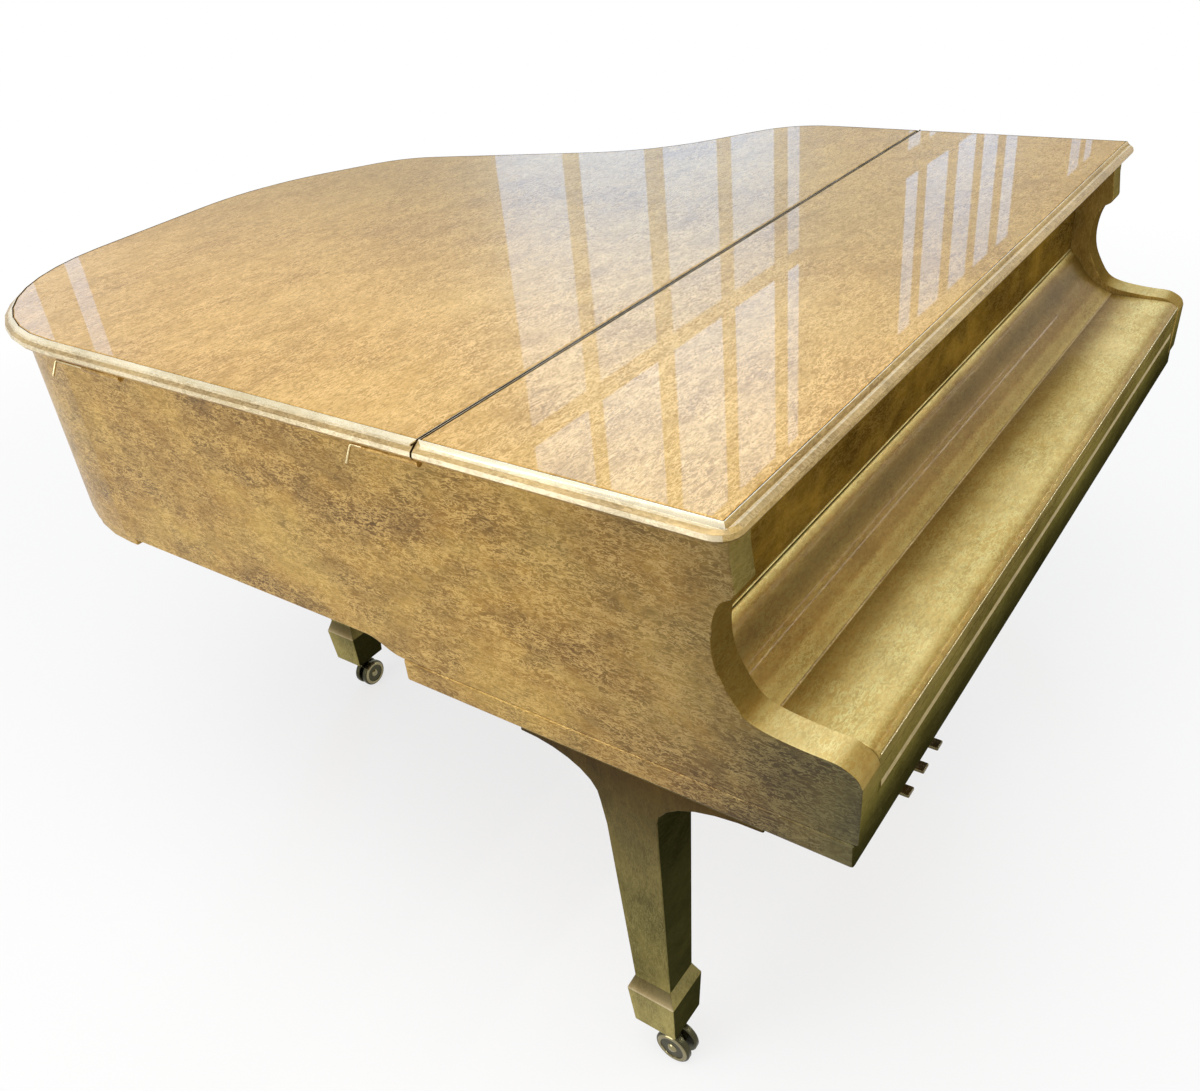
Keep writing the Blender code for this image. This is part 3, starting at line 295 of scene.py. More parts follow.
LID_LEAF = leaf("lid_leaf", (0.66, 0.405, 0.115), (0.58, 0.34, 0.086), (0.49, 0.275, 0.066),
                ALONG_KEYS, 0.85, 0.22, coat=0.28, specular=0.04)
EDGE_LEAF = leaf("edge_leaf", (0.88, 0.78, 0.57), (0.78, 0.68, 0.46), (0.63, 0.53, 0.32),
                 ALONG_CASE, 0.3, 0.3, metallic=0.45, roughness=0.3)
SLOPE_LEAF = leaf("slope_leaf", (0.70, 0.59, 0.38), (0.62, 0.51, 0.31), (0.53, 0.42, 0.23),
                  ALONG_CASE, 0.6, 0.4)
BAND_LEAF = leaf("band_leaf", (0.50, 0.36, 0.15), (0.40, 0.27, 0.10), (0.28, 0.18, 0.06),
                 ALONG_CASE, 0.6, 0.6)
# painted shade: a darker gold for the moulding's faces towards the player
MOULD_SHADE_LEAF = leaf("mould_shade_leaf", (0.56, 0.39, 0.14), (0.47, 0.32, 0.11), (0.37, 0.24, 0.08),
                  ALONG_KEYS, 0.6, 0.4, coat=0.1, specular=0.05)
JOINT_BRONZE = leaf("joint_bronze", (0.12, 0.07, 0.024), (0.07, 0.04, 0.014), (0.035, 0.021, 0.007),
                    ALONG_KEYS, 0.4, coat=0.0, metallic=0.0, specular=0.0)
# the case's leaf, darker and browner than the lid's: partly its own mottled tone, partly painted shade for the
# sides, and darker towards the front by its fade below
CASE_SHADE_LEAF = leaf("case_shade_leaf", (0.485, 0.30, 0.056), (0.37, 0.20, 0.029), (0.215, 0.100, 0.011),
                 ALONG_CASE, 0.9, 0.8, coat=0.12)
PLAYER_LEAF = leaf("player_leaf", (0.90, 0.72, 0.30), (0.82, 0.63, 0.23), (0.69, 0.50, 0.155),
                   ALONG_KEYS, 0.6, 0.3, coat=0.08, metallic=0.35, specular=0.05)
ARM_LEAF = leaf("arm_leaf", (0.93, 0.76, 0.34), (0.85, 0.67, 0.28), (0.72, 0.54, 0.20),
                ALONG_KEYS, 0.5, 0.4, coat=0.0, metallic=0.0, roughness=0.45, specular=0.0)
# painted shade: a near-black leaf for the legs' faces towards the player
FRONT_SHADE_LEAF = leaf("front_shade_leaf", (0.052, 0.048, 0.013), (0.038, 0.036, 0.010), (0.025, 0.024, 0.006),
                  ALONG_KEYS, 0.35, 0.5, **MATT)
# painted shade: a dark leaf for the key slip and the flat faces towards the player, golden at the top and darker
# towards the bottom by its fade below
SLIP_SHADE_LEAF = leaf("slip_shade_leaf", (0.31, 0.235, 0.065), (0.24, 0.18, 0.049), (0.17, 0.125, 0.032),
                 ALONG_KEYS, 0.35, 0.5, **MATT)
# painted shade: a darker, matt leaf for the arms' inner sides, which face the keys
INSIDE_SHADE_LEAF = leaf("inside_shade_leaf", (0.45, 0.30, 0.075), (0.36, 0.235, 0.054), (0.26, 0.165, 0.035),
                   UPRIGHT, 0.5, 0.5, **MATT)
# painted shade: a dark, matt leaf for the front board under the lid's front edge, standing for the dark room it
# reflects
BOARD_SHADE_LEAF = leaf("board_shade_leaf", (0.28, 0.165, 0.021), (0.186, 0.107, 0.0134), (0.115, 0.062, 0.008),
                  ALONG_KEYS, 0.4, **MATT)
# painted shade: an olive leaf for the legs, darker than the case's for the shade they stand in, and darker towards
# the top by its fade below
LEG_SHADE_LEAF = leaf("leg_shade_leaf", (0.52, 0.43, 0.132), (0.33, 0.268, 0.076), (0.195, 0.16, 0.042),
                UPRIGHT, 0.35, 0.5, coat=0.0, metallic=0.1, roughness=0.45, specular=0.05)
# painted highlight: a pale leaf for the feet's slopes, brightest at their lower edge by its fade below
FOOT_HIGHLIGHT_LEAF = leaf("foot_highlight_leaf", (0.66, 0.56, 0.36), (0.57, 0.47, 0.28), (0.45, 0.35, 0.18),
                 UPRIGHT, 0.3, 0.3, coat=0.0, metallic=0.0, specular=0.05)
PLATE_BRONZE = leaf("plate_bronze", (0.62, 0.43, 0.14), (0.55, 0.37, 0.11), (0.49, 0.32, 0.09),
                    ALL_WAYS, 0.1, 0.2, metallic=0.5)
# painted highlight: a bright gold for the bead that draws the gloss line along the fallboard's nose
NOSE_HIGHLIGHT_GOLD = polished("nose_highlight_gold", (0.58, 0.49, 0.26), 0.25, 0.9)
INLAY_GOLD = polished("inlay_gold", (0.40, 0.30, 0.10), 0.5, 0.9)
BRASS = polished("polished_brass", (0.66, 0.54, 0.30), 0.14)
# painted shade: brass darker than the polished brass, for the casters in shade under the feet
CASTER_SHADE_BRASS = polished("caster_shade_brass", (0.30, 0.26, 0.14), 0.12)
# painted shade: near-black brass for the caster wheels' faces between their rims and hubs
WHEEL_SHADE_BRASS = polished("wheel_shade_brass", (0.07, 0.065, 0.035), 0.25)
# painted shade: dark brass for the pedals, which sit in shade under the keybed
PEDAL_SHADE_BRASS = polished("pedal_shade_brass", (0.13, 0.105, 0.05), 0.22)
STRING_WIRE = polished("string_wire", (0.62, 0.62, 0.62), 0.22)
COPPER_WIRE = polished("copper_wire", (0.72, 0.38, 0.20), 0.3)
PIN_STEEL = polished("tuning_pin_steel", (0.45, 0.47, 0.50), 0.25)
SPRUCE = timber("spruce_board", (0.72, 0.52, 0.27), (0.56, 0.37, 0.17), (20.0, 2.0, 20.0), 0.4, 0.5)
MAPLE = timber("maple_wood", (0.55, 0.39, 0.22), (0.42, 0.28, 0.14))
KEY_WHITE = gloss("key_white", (0.86, 0.83, 0.75), 0.15, 0.96)
KEY_BLACK = gloss("key_black", (0.018, 0.017, 0.016), 0.2, 0.6)
DAMPER_BLACK = gloss("damper_black", (0.02, 0.02, 0.02), 0.35, 0.6)
WHITE_FELT = soft_felt("white_felt", (0.78, 0.74, 0.66))
RED_FELT = soft_felt("red_felt", (0.42, 0.03, 0.03))
RUBBER = soft_felt("rubber_button", (0.05, 0.045, 0.04))

# Painted shade: tones of a leaf by how far its face is turned towards the player, darker the further it turns
TURNED_SHADE_TONES = ((0.0, grey(1.0)), (0.3, (0.55, 0.48, 0.34)), (0.55, (0.29, 0.21, 0.10)),
                (0.8, (0.20, 0.15, 0.07)), (1.0, (0.07, 0.07, 0.035)))
for shade_turned_leaf in (PLAYER_LEAF, ARM_LEAF):
    turn_value = add_node(shade_turned_leaf.node_tree, "ShaderNodeAttribute", attribute_name="turned")
    shade_by(shade_turned_leaf, turn_value.outputs["Fac"], TURNED_SHADE_TONES)

# Where painted shade darkens a leaf, or a painted highlight lightens it: the axis, its start and end in metres,
# and the tones from one to the other
FADES = (
    # painted shade on the case: darker and greener towards the front
    (CASE_SHADE_LEAF, "Y", -0.84, -0.40,
     ((0.0, (0.20, 0.27, 0.32)), (0.2, (0.33, 0.39, 0.43)), (0.5, (0.72, 0.73, 0.80)), (1.0, grey(1.0)))),
    # painted shade on the lid: darker and less blue towards the treble end
    (LID_LEAF, "X", -0.45, 0.60, ((0.0, grey(1.0)), (0.57, (0.71, 0.71, 0.58)), (1.0, (0.78, 0.78, 0.60)))),
    # painted shadow: the fallboard's flat darkens towards its joint with the curve, then the leaf is whole again
    # behind it
    (PLAYER_LEAF, "Y", -0.84, -0.70,
     ((0.0, grey(1.0)), (0.38, grey(1.0)), (0.55, (0.80, 0.75, 0.65)), (0.68, (0.50, 0.42, 0.29)),
      (0.83, (0.36, 0.28, 0.15)), (0.845, grey(1.0)))),
    # painted shade on the key slip and the flat fronts: darker towards the bottom
    (SLIP_SHADE_LEAF, "Z", 0.61, 0.745,
     ((0.0, (0.13, 0.16, 0.14)), (0.15, (0.17, 0.20, 0.18)), (0.41, (0.32, 0.36, 0.30)),
      (0.56, (0.58, 0.64, 0.52)), (0.70, (0.80, 0.84, 0.72)), (1.0, grey(1.0)))),
    # painted shade on the legs: light at the foot, darker towards the top under the keybed
    (LEG_SHADE_LEAF, "Z", 0.12, 0.62,
     ((0.0, grey(1.0)), (0.16, grey(0.60)), (0.44, grey(0.60)), (1.0, (0.14, 0.087, 0.03)))),
    # painted highlight on the feet's slopes: bright at the lower edge, darker upwards
    (FOOT_HIGHLIGHT_LEAF, "Z", 0.164, 0.188,
     ((0.0, grey(1.0)), (0.15, (0.62, 0.58, 0.46)), (0.45, (0.36, 0.34, 0.24)), (1.0, (0.22, 0.21, 0.13)))),
)
for fade in FADES:
    fade_along(*fade)

FINISH = {
    "gold_leaf": CASE_SHADE_LEAF, "shaded_leaf": LEG_SHADE_LEAF, "polished_brass": BRASS, "spruce": SPRUCE,
    "maple": MAPLE, "white_key": KEY_WHITE, "black_key": KEY_BLACK, "bronzed_iron": PLATE_BRONZE,
    "string_steel": STRING_WIRE, "hammer_felt": WHITE_FELT, "damper_black": DAMPER_BLACK,
}
OWN_FINISH = {
    "front_board": BOARD_SHADE_LEAF, "fallboard": PLAYER_LEAF, "key_slip": SLIP_SHADE_LEAF, "music_desk": LID_LEAF,
    "music_shelf": CASE_SHADE_LEAF, "prop_stick": CASE_SHADE_LEAF, "keybed": CASE_SHADE_LEAF,
    **{node: CASE_SHADE_LEAF for node in SLOT_OF if node.startswith("hinge_") and "leaf" in node},
    **{node: CASTER_SHADE_BRASS for node in SLOT_OF if node.startswith("caster_yoke")},
    **{node: WHEEL_SHADE_BRASS for node in SLOT_OF if node.startswith("caster_wheels")},
    **{node: PEDAL_SHADE_BRASS for node in ("pedal_left", "pedal_middle", "pedal_right")},
}

# The looks of a piece's front, after its own finish: flat faces, rounded or sloping ones, those that
# turn up, and the inner sides of the arms; these carry painted shade, and on the feet a painted highlight
OWN, FLAT, ROUNDED, UPWARD, INNER = range(5)
FRONT_LOOKS = {
    "outer_rim": (SLIP_SHADE_LEAF, ARM_LEAF, ARM_LEAF, INSIDE_SHADE_LEAF), "keybed": (SLIP_SHADE_LEAF, CASE_SHADE_LEAF, CASE_SHADE_LEAF),
    "fallboard": (SLIP_SHADE_LEAF, PLAYER_LEAF, PLAYER_LEAF),
    **{leg: (FRONT_SHADE_LEAF, LEG_SHADE_LEAF, FOOT_HIGHLIGHT_LEAF) for leg in ("leg_front_bass", "leg_front_treble", "leg_rear")},
}
ARM_INSIDE = 0.69         # the arms' inner sides lie within this half width
ARM_REAR = -0.66          # the arms' curved tops lie in front of this
ARM_END_TOP = 0.80        # the arms' flat front ends lie below this,
NECK_BOTTOM = 0.93        # and their flat necks above this
NOSE_TOP = 0.77           # below this the arms and the fallboard are rounded noses, which get less painted shade
NOSE_TURN = 0.42          # the most that a nose counts as turned to the player, and so the most painted shade it gets,
MOST_TURN = 0.8           # and any other face
SIDEWAYS = 0.5            # a face whose normal points across by this share or more is an end or a side,
UPRIGHT_SIDE = 0.9        # and by this share or more an upright one
RISING = 0.3              # a face whose normal rises by this share or more turns up,
LEANING = 0.3             # and one that also leans forward by this share is rounded
FORWARD = 0.05            # a face whose normal points forward by this share belongs to the front,
DEAD_FORWARD = 0.96       # and by this share to its flat faces


def put(name, mesh, looks, body, stands_for=()):
    """A finished piece from a bmesh: smooth shaded, riding on its body."""
    data = bpy.data.meshes.new(name)
    mesh.to_mesh(data)
    mesh.free()
    piece = bpy.data.objects.new(name, data)
    bpy.context.scene.collection.objects.link(piece)
    for look in looks if isinstance(looks, (list, tuple)) else (looks,):
        data.materials.append(look)
    data.shade_smooth()
    data.set_sharp_from_angle(angle=SHARP_FROM)
    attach(piece, body)
    if stands_for:
        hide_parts(*stands_for)
    return piece


def cad_copy(node):
    """The CAD piece's shape with its flat faces whole again."""
    mesh = bmesh.new()
    mesh.from_mesh(frame["nodes"][node].data)
    bmesh.ops.remove_doubles(mesh, verts=mesh.verts, dist=2 * MERGE)
    bmesh.ops.dissolve_limit(mesh, angle_limit=math.radians(0.5), verts=mesh.verts, edges=mesh.edges)
    for face in mesh.faces:
        face.material_index = OWN
    return mesh


def soften(piece, width, segments=3):
    """Rounds a piece's sharp edges."""
    edge = piece.modifiers.new("soft_edge", "BEVEL")
    edge.width = width
    edge.segments = segments
    edge.limit_method = "ANGLE"
    edge.angle_limit = BEVEL_FROM
    edge.harden_normals = True
    edge.use_clamp_overlap = True
    return piece


def dress(node, width, segments=3):
    """Gives a CAD piece its finish and soft edges."""
    mesh = cad_copy(node)
    looks = [OWN_FINISH.get(node, FINISH[SLOT_OF[node]])]
    if node in FRONT_LOOKS:
        looks += FRONT_LOOKS[node]
        mark_front(mesh, node == "outer_rim")
    piece = put(node + "_finish", mesh, looks, BODY_OF[node], stands_for=(node,))
    return soften(piece, width, segments)


def mark_front(mesh, has_arms):
    """Gives the front's faces their looks, and notes how far each corner is turned towards the player, which sets
    how much painted shade its leaf gets.
    """
    rear = ARM_REAR if has_arms else math.inf
    turned = mesh.verts.layers.float.new("turned")
    mesh.normal_update()
    for vert in mesh.verts:
        facing = [-face.normal.y for face in vert.link_faces if abs(face.normal.x) < SIDEWAYS]
        most = NOSE_TURN if vert.co.z < NOSE_TOP else MOST_TURN
        vert[turned] = min(most, max(0.0, sum(facing) / max(1, len(facing))))
    for face in mesh.faces:
        centre = face.calc_center_median()
        normal = face.normal
        if has_arms and abs(normal.x) > UPRIGHT_SIDE and abs(centre.x) < ARM_INSIDE:
            face.material_index = INNER if min(vert.co.y for vert in face.verts) < rear else OWN
        elif centre.y < rear and normal.z > RISING:
            face.material_index = ROUNDED if normal.y < -LEANING else UPWARD
        elif centre.y < rear and abs(normal.x) < SIDEWAYS and normal.y < -FORWARD:
            flat = normal.y < -DEAD_FORWARD and not ARM_END_TOP < centre.z < NECK_BOTTOM
            face.material_index = FLAT if flat else ROUNDED


def add_block(mesh, low, high):
    """Adds a box between two corners."""
    low, high = Vector(low), Vector(high)
    matrix = Matrix.Translation((low + high) / 2) @ Matrix.Diagonal((*(high - low), 1.0))
    return bmesh.ops.create_cube(mesh, size=1.0, matrix=matrix)["verts"]


def add_rod(mesh, start, end, radius, sides=6, end_radius=None):
    """Adds a rod from one point to another."""
    start, end = Vector(start), Vector(end)
    run = end - start
    matrix = Matrix.Translation((start + end) / 2) @ run.to_track_quat("Z", "Y").to_matrix().to_4x4()
    made = bmesh.ops.create_cone(mesh, cap_ends=True, segments=sides, radius1=radius,
                                 radius2=radius if end_radius is None else end_radius,
                                 depth=run.length, matrix=matrix)
    return made["verts"]


def add_turned(mesh, profile, centre, steps=24):
    """Adds a turned shape about Z from (radius, height) points that run down its outer side."""
    before = set(mesh.verts)
    verts = [mesh.verts.new((radius, 0, height)) for radius, height in profile]
    edges = [mesh.edges.new(pair) for pair in zip(verts, verts[1:])]
    bmesh.ops.spin(mesh, geom=verts + edges, cent=(0, 0, 0), axis=(0, 0, 1), angle=math.tau, steps=steps,
                   use_merge=True)
    shape = [vert for vert in mesh.verts if vert not in before]
    bmesh.ops.translate(mesh, verts=shape, vec=centre)
    bmesh.ops.remove_doubles(mesh, verts=shape, dist=MERGE)
    return [vert for vert in shape if vert.is_valid]


def spread(first, last, count):
    """Places for a number of like pieces, from the first to the last."""
    return [first + (last - first) * i / (count - 1) for i in range(count)]


# A lid board's looks, in the order of its materials
TOP, STRIP, LINE, LIP, UNDER, BAND, SLOPE, MOULD = range(8)
LID_LOOKS = (LID_LEAF, EDGE_LEAF, JOINT_BRONZE, SLOPE_LEAF, CASE_SHADE_LEAF, BAND_LEAF, SLOPE_LEAF, MOULD_SHADE_LEAF)
CORNER_REACH = 0.0125     # the rounded part of the flap's flat top at each front corner
ONE_LEVEL = 0.0001        # points this close in height lie on one level
SEAM_REACH = 0.0020       # what lies this close to the joint between flap and lid belongs to it
SEAM_OPEN = 0.0010        # and each board stands back this much from it
LEVEL_FACE = 0.97         # a face whose normal rises by this share or more is level,
SLOPE_FACE = 0.5          # and by this share or more belongs to the moulding's slope
STRIP_WIDTH = 0.0065      # of the strips above and below the hollow in the slope
HOLLOW_DEPTH = -0.0012
SLOPE_MIDDLE = 1.0152     # height of the slope's middle
TOP_RINGS = ((0.0010, 0.0, STRIP), (0.0018, -0.0012, LINE), (0.0009, 0.0012, TOP))   # width, depth and look
FLAT_AREA = 0.05          # a face above this area stays dead flat, so that it mirrors straight lines


def square_corners(mesh):
    """Draws the small rounded corners at the front of the flap's flat top out to a mitre."""
    height = max(vert.co.z for vert in mesh.verts)
    top = [vert for vert in mesh.verts if vert.co.z > height - ONE_LEVEL]
    front = min(vert.co.y for vert in top)
    drawn_out = []
    for side in (min(vert.co.x for vert in top), max(vert.co.x for vert in top)):
        for vert in top:
            if abs(vert.co.x - side) < CORNER_REACH and vert.co.y - front < CORNER_REACH:
                vert.co.x, vert.co.y = side, front
                drawn_out.append(vert)
    bmesh.ops.remove_doubles(mesh, verts=drawn_out, dist=10 * MERGE)


def mark_moulding(mesh, top, bottom, seam_y):
    """Gives the faces round a lid board their looks: the joint, the slope, the lip and what is under it."""
    for face in mesh.faces:
        if face in (top, bottom):
            continue
        if abs(face.calc_center_median().y - seam_y) < SEAM_REACH:
            face.material_index = LINE
        elif abs(face.normal.z) < LEVEL_FACE:
            upper = STRIP if face.normal.z > SLOPE_FACE else LIP
            face.material_index = upper if face.normal.z > 0.0 else UNDER


def hollow_slope(mesh):
    """Parts the moulding's slope into an upper strip, a shallow hollow and a lower strip."""
    slope = [face for face in mesh.faces if face.material_index == STRIP]
    strips = bmesh.ops.inset_region(mesh, faces=slope, thickness=STRIP_WIDTH, depth=HOLLOW_DEPTH,
                                    use_even_offset=True)
    for face in slope:
        face.material_index = SLOPE
    for face in strips["faces"]:
        face.material_index = BAND if face.calc_center_median().z < SLOPE_MIDDLE else STRIP
    for face in mesh.faces:
        # faces towards the player get the darker moulding gold, which is painted shade
        if face.material_index in (STRIP, LIP, BAND, SLOPE) and face.normal.y < -SIDEWAYS:
            face.material_index = MOULD


def line_top(mesh, top):
    """Runs a fine strip and a dark line round a board's flat top, and keeps the top level."""
    level = top.calc_center_median().z
    for width, depth, look in TOP_RINGS:
        ring = bmesh.ops.inset_region(mesh, faces=[top], thickness=width, depth=depth, use_even_offset=True)
        for face in ring["faces"]:
            face.material_index = look
    for vert in top.verts:
        vert.co.z = level


def dress_lid(node):
    """A lid board: flat leafed top, an incised line, and a paler moulding round its edge."""
    mesh = cad_copy(node)
    if node == "lid_flap":
        square_corners(mesh)
    mesh.normal_update()
    top = max(mesh.faces, key=lambda face: face.calc_center_median().z)
    bottom = min(mesh.faces, key=lambda face: face.calc_center_median().z)
    seam_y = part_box("lid_flap")[1].y
    mark_moulding(mesh, top, bottom, seam_y)
    for vert in mesh.verts:
        if abs(vert.co.y - seam_y) < SEAM_REACH:
            vert.co.y += SEAM_OPEN if node == "lid_main" else -SEAM_OPEN
    hollow_slope(mesh)
    line_top(mesh, top)
    piece = put(node + "_finish", mesh, LID_LOOKS, BODY_OF[node], stands_for=(node,))
    for face in piece.data.polygons:
        face.use_smooth = face.area < FLAT_AREA
    return soften(piece, LID_EDGE)


CASE_NODES = ("outer_rim", "keybed", "front_board", "fallboard", "key_slip", "tail_block", "leg_front_bass",
              "leg_front_treble", "leg_rear", "lyre_box", "lyre_frame")
INNER_NODES = ("cheek_block_bass", "cheek_block_treble", "music_shelf", "music_desk", "shelf_rail_bass",
               "shelf_rail_treble", "prop_block", "prop_stick", "inner_rim", "belly_rail", "back_brace_1",
               "back_brace_2", "back_brace_3", "rear_leg_block", "pin_block", "key_frame", "action_rail",
               "soundboard", "treble_bridge", "bass_bridge", "iron_plate")


def dress_case():
    dress_lid("lid_main")
    dress_lid("lid_flap")
    for node in CASE_NODES:
        dress(node, KEYBED_EDGE if node == "keybed" else CASE_EDGE)
    for node in INNER_NODES:
        dress(node, SMALL_EDGE, 2)
    slip_inlay()
    seam_hinge()
    board_bead()
    fallboard_joint()
    fallboard_nose()


def slip_inlay():
    """The metal line in the key slip's groove."""
    groove_bottom, groove_top = 0.689, 0.700
    margin, play, thick = 0.013, 0.0004, 0.0015
    low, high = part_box("key_slip")
    line = bmesh.new()
    add_block(line, (low.x + margin, low.y + play, groove_bottom + play),
              (high.x - margin, low.y + play + thick, groove_top - play))
    soften(put("key_slip_inlay", line, INLAY_GOLD, "case"), FINE_EDGE, 2)


def seam_hinge():
    """The long hinge's barrel, down in the joint between the flap and the main lid."""
    short, behind, deep, radius = 0.004, 0.0004, 0.0022, 0.0011
    low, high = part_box("lid_flap")
    y, z = high.y + behind, high.z - deep
    barrel = bmesh.new()
    add_rod(barrel, (low.x + short, y, z), (high.x - short, y, z), radius, 12)
    put("lid_joint_barrel", barrel, JOINT_BRONZE, "lid")


def board_bead():
    """A small bead that closes the line under the front board."""
    play, deep, drop = 0.0004, 0.0080, 0.0028
    low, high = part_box("front_board")
    bead = bmesh.new()
    add_block(bead, (low.x + play, low.y - play, low.z - drop), (high.x - play, low.y + deep, low.z - TOUCH))
    soften(put("front_board_bead", bead, PLAYER_LEAF, "case"), BEAD_EDGE)


def fallboard_joint():
    """The fine joint along the fallboard, where its curve meets its flat."""
    front, bottom, size, short = -0.7225, 0.7550, 0.0024, 0.001
    low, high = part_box("fallboard")
    line = bmesh.new()
    add_block(line, (low.x + short, front, bottom), (high.x - short, front + size, bottom + size))
    soften(put("fallboard_joint", line, BAND_LEAF, "fallboard"), SMALL_EDGE)


def fallboard_nose():
    """A bright metal bead along the fallboard's nose: a painted highlight, standing for the gloss line on its
    rounded edge.
    """
    height, inward, short, radius = 0.7438, 0.0008, 0.003, 0.0009
    low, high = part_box("fallboard")
    y = low.y + inward
    bead = bmesh.new()
    add_rod(bead, (low.x + short, y, height), (high.x - short, y, height), radius, 12)
    put("fallboard_nose_highlight_bead", bead, NOSE_HIGHLIGHT_GOLD, "fallboard")


def dress_fittings():
    for node, slot in SLOT_OF.items():
        if slot == "polished_brass" and not node.startswith("caster_yoke"):
            dress(node, PEDAL_EDGE if node.startswith("pedal_") and "rod" not in node else BRASS_EDGE)
    casters()
    hinge_screws()
    lid_buttons()
    prop_cup()


# Turned trim, as radius and distance below the leg's foot
CASTER_CAP = ((0.0, 0.0006), (0.0125, 0.0006), (0.0132, 0.0030), (0.0118, 0.0080), (0.0092, 0.0120),
              (0.0088, 0.0180), (0.0, 0.0185))
FERRULE = ((0.0150, 0.0002), (0.0240, 0.0002), (0.0245, 0.0020), (0.0225, 0.0045), (0.0170, 0.0060),
           (0.0150, 0.0055), (0.0150, 0.0002))
# Turned trim, as radius and height over the wheel's outer face
HUB = ((0.0, 0.0036), (0.0040, 0.0030), (0.0070, 0.0014), (0.0082, -0.0004), (0.0, -0.0004))
WHEEL_RIM = ((0.0195, -0.0004), (0.0200, 0.0012), (0.0245, 0.0012), (0.0262, -0.0004), (0.0195, -0.0004))


def casters():
    """Each yoke gets a domed cap over its horn, and each foot a ferrule."""
    for place in ("front_bass", "front_treble", "rear"):
        yoke = f"caster_yoke_{place}"
        dress(yoke, YOKE_EDGE)
        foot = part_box(f"leg_{place}")[0].z
        x, y, _ = JOINTS[f"caster_{place}_swivel"]["pos_m"]
        for kind, profile, body in (("cap", CASTER_CAP, BODY_OF[yoke]), ("ferrule", FERRULE, "case")):
            trim = bmesh.new()
            add_turned(trim, [(radius, foot - depth) for radius, depth in profile], (x, y, 0.0))
            bmesh.ops.recalc_face_normals(trim, faces=trim.faces)
            put(f"caster_{kind}_{place}", trim, CASTER_SHADE_BRASS, body)
        wheel_trim(place)


def wheel_trim(place):
    """A raised rim and a domed hub on each outer side of a pair of wheels."""
    wheels = f"caster_wheels_{place}"
    low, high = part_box(wheels)
    middle = (low + high) / 2
    axle = Vector((1, 0, 0)) if high.x - low.x < high.y - low.y else Vector((0, 1, 0))
    reach = (high - low).dot(axle) / 2
    trim = bmesh.new()
    for outward in (axle, -axle):
        made = add_turned(trim, HUB, (0, 0, reach)) + add_turned(trim, WHEEL_RIM, (0, 0, reach), 32)
        matrix = Matrix.Translation(middle) @ outward.to_track_quat("Z", "Y").to_matrix().to_4x4()
        bmesh.ops.transform(trim, matrix=matrix, verts=made)
    bmesh.ops.recalc_face_normals(trim, faces=trim.faces)
    put(f"caster_trim_{place}", trim, CASTER_SHADE_BRASS, BODY_OF[wheels])


def hinge_screws():
    """Slotless screw heads on the rim under each hinge leaf."""
    root, crown, height = 0.0118, 0.0108, 0.004
    root_radius, crown_radius = 0.0022, 0.0014
    heads = bmesh.new()
    for place in ("front", "rear"):
        low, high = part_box(f"hinge_rim_leaf_{place}")
        z = low.z + height
        for share in (0.25, 0.75):
            y = low.y + (high.y - low.y) * share
            add_rod(heads, (low.x + root, y, z), (low.x + crown, y, z), root_radius, 12, crown_radius)
    put("hinge_screws", heads, BRASS, "case")


def lid_buttons():
    """Rubber buttons on the rim that the lid rests on."""
    inset = 0.022
    profile = ((0.0, 0.0030), (0.0050, 0.0028), (0.0060, 0.0002), (0.0, 0.0001))
    low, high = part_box("outer_rim")
    bass, treble = low.x + inset, high.x - inset
    buttons = bmesh.new()
    for x, share in ((bass, 0.62), (bass, 0.10), (treble, 0.30), (bass, 0.36)):
        y = low.y + (high.y - low.y) * share
        add_turned(buttons, [(radius, high.z + height) for radius, height in profile], (x, y, 0.0), 12)
    put("lid_buttons", buttons, RUBBER, "case")


def prop_rest():
    """Where the prop's tip meets the lid when both are up, as a place on the closed lid."""
    lid_joint, swing = JOINTS["lid_hinge"], JOINTS["prop_swing"]
    ratio = next(c["ratio"] for c in RECORD["behaviour"]["couplings"] if c["joint"] == "prop_swing")
    open_angle = math.radians(lid_joint["range_deg"][1])
    base = Vector(swing["pos_m"])
    points = sorted((vert.co.copy() for vert in frame["nodes"]["prop_stick"].data.vertices),
                    key=lambda point: -(point - base).length)[:4]
    tip = sum(points, Vector()) / len(points)
    raised = base + Matrix.Rotation(open_angle * ratio, 3, Vector(swing["axis"])) @ (tip - base)
    hinge = Vector(lid_joint["pos_m"])
    return hinge + Matrix.Rotation(-open_angle, 3, Vector(lid_joint["axis"])) @ (raised - hinge)


def prop_cup():
    """The leafed block under the lid, with its brass cup, that takes the prop's tip when the lid is up."""
    half_width, half_length, tip_room, cup_drop = 0.028, 0.020, 0.010, 0.0012
    profile = ((0.0, 0.0004), (0.0060, 0.0004), (0.0090, -0.0010), (0.0105, -0.0026), (0.0125, -0.0026),
               (0.0130, -0.0010), (0.0125, 0.0010), (0.0, 0.0010))
    spot = prop_rest()
    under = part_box("lid_main")[0].z
    deep = under - spot.z - tip_room
    block = bmesh.new()
    add_block(block, (spot.x - half_width, spot.y - half_length, under - deep),
              (spot.x + half_width, spot.y + half_length, under - TOUCH))
    soften(put("prop_cup_block", block, CASE_SHADE_LEAF, "lid"), ROUND_EDGE)
    cup = bmesh.new()
    add_turned(cup, profile, (spot.x, spot.y, under - deep - cup_drop))
    put("prop_cup", cup, BRASS, "lid")


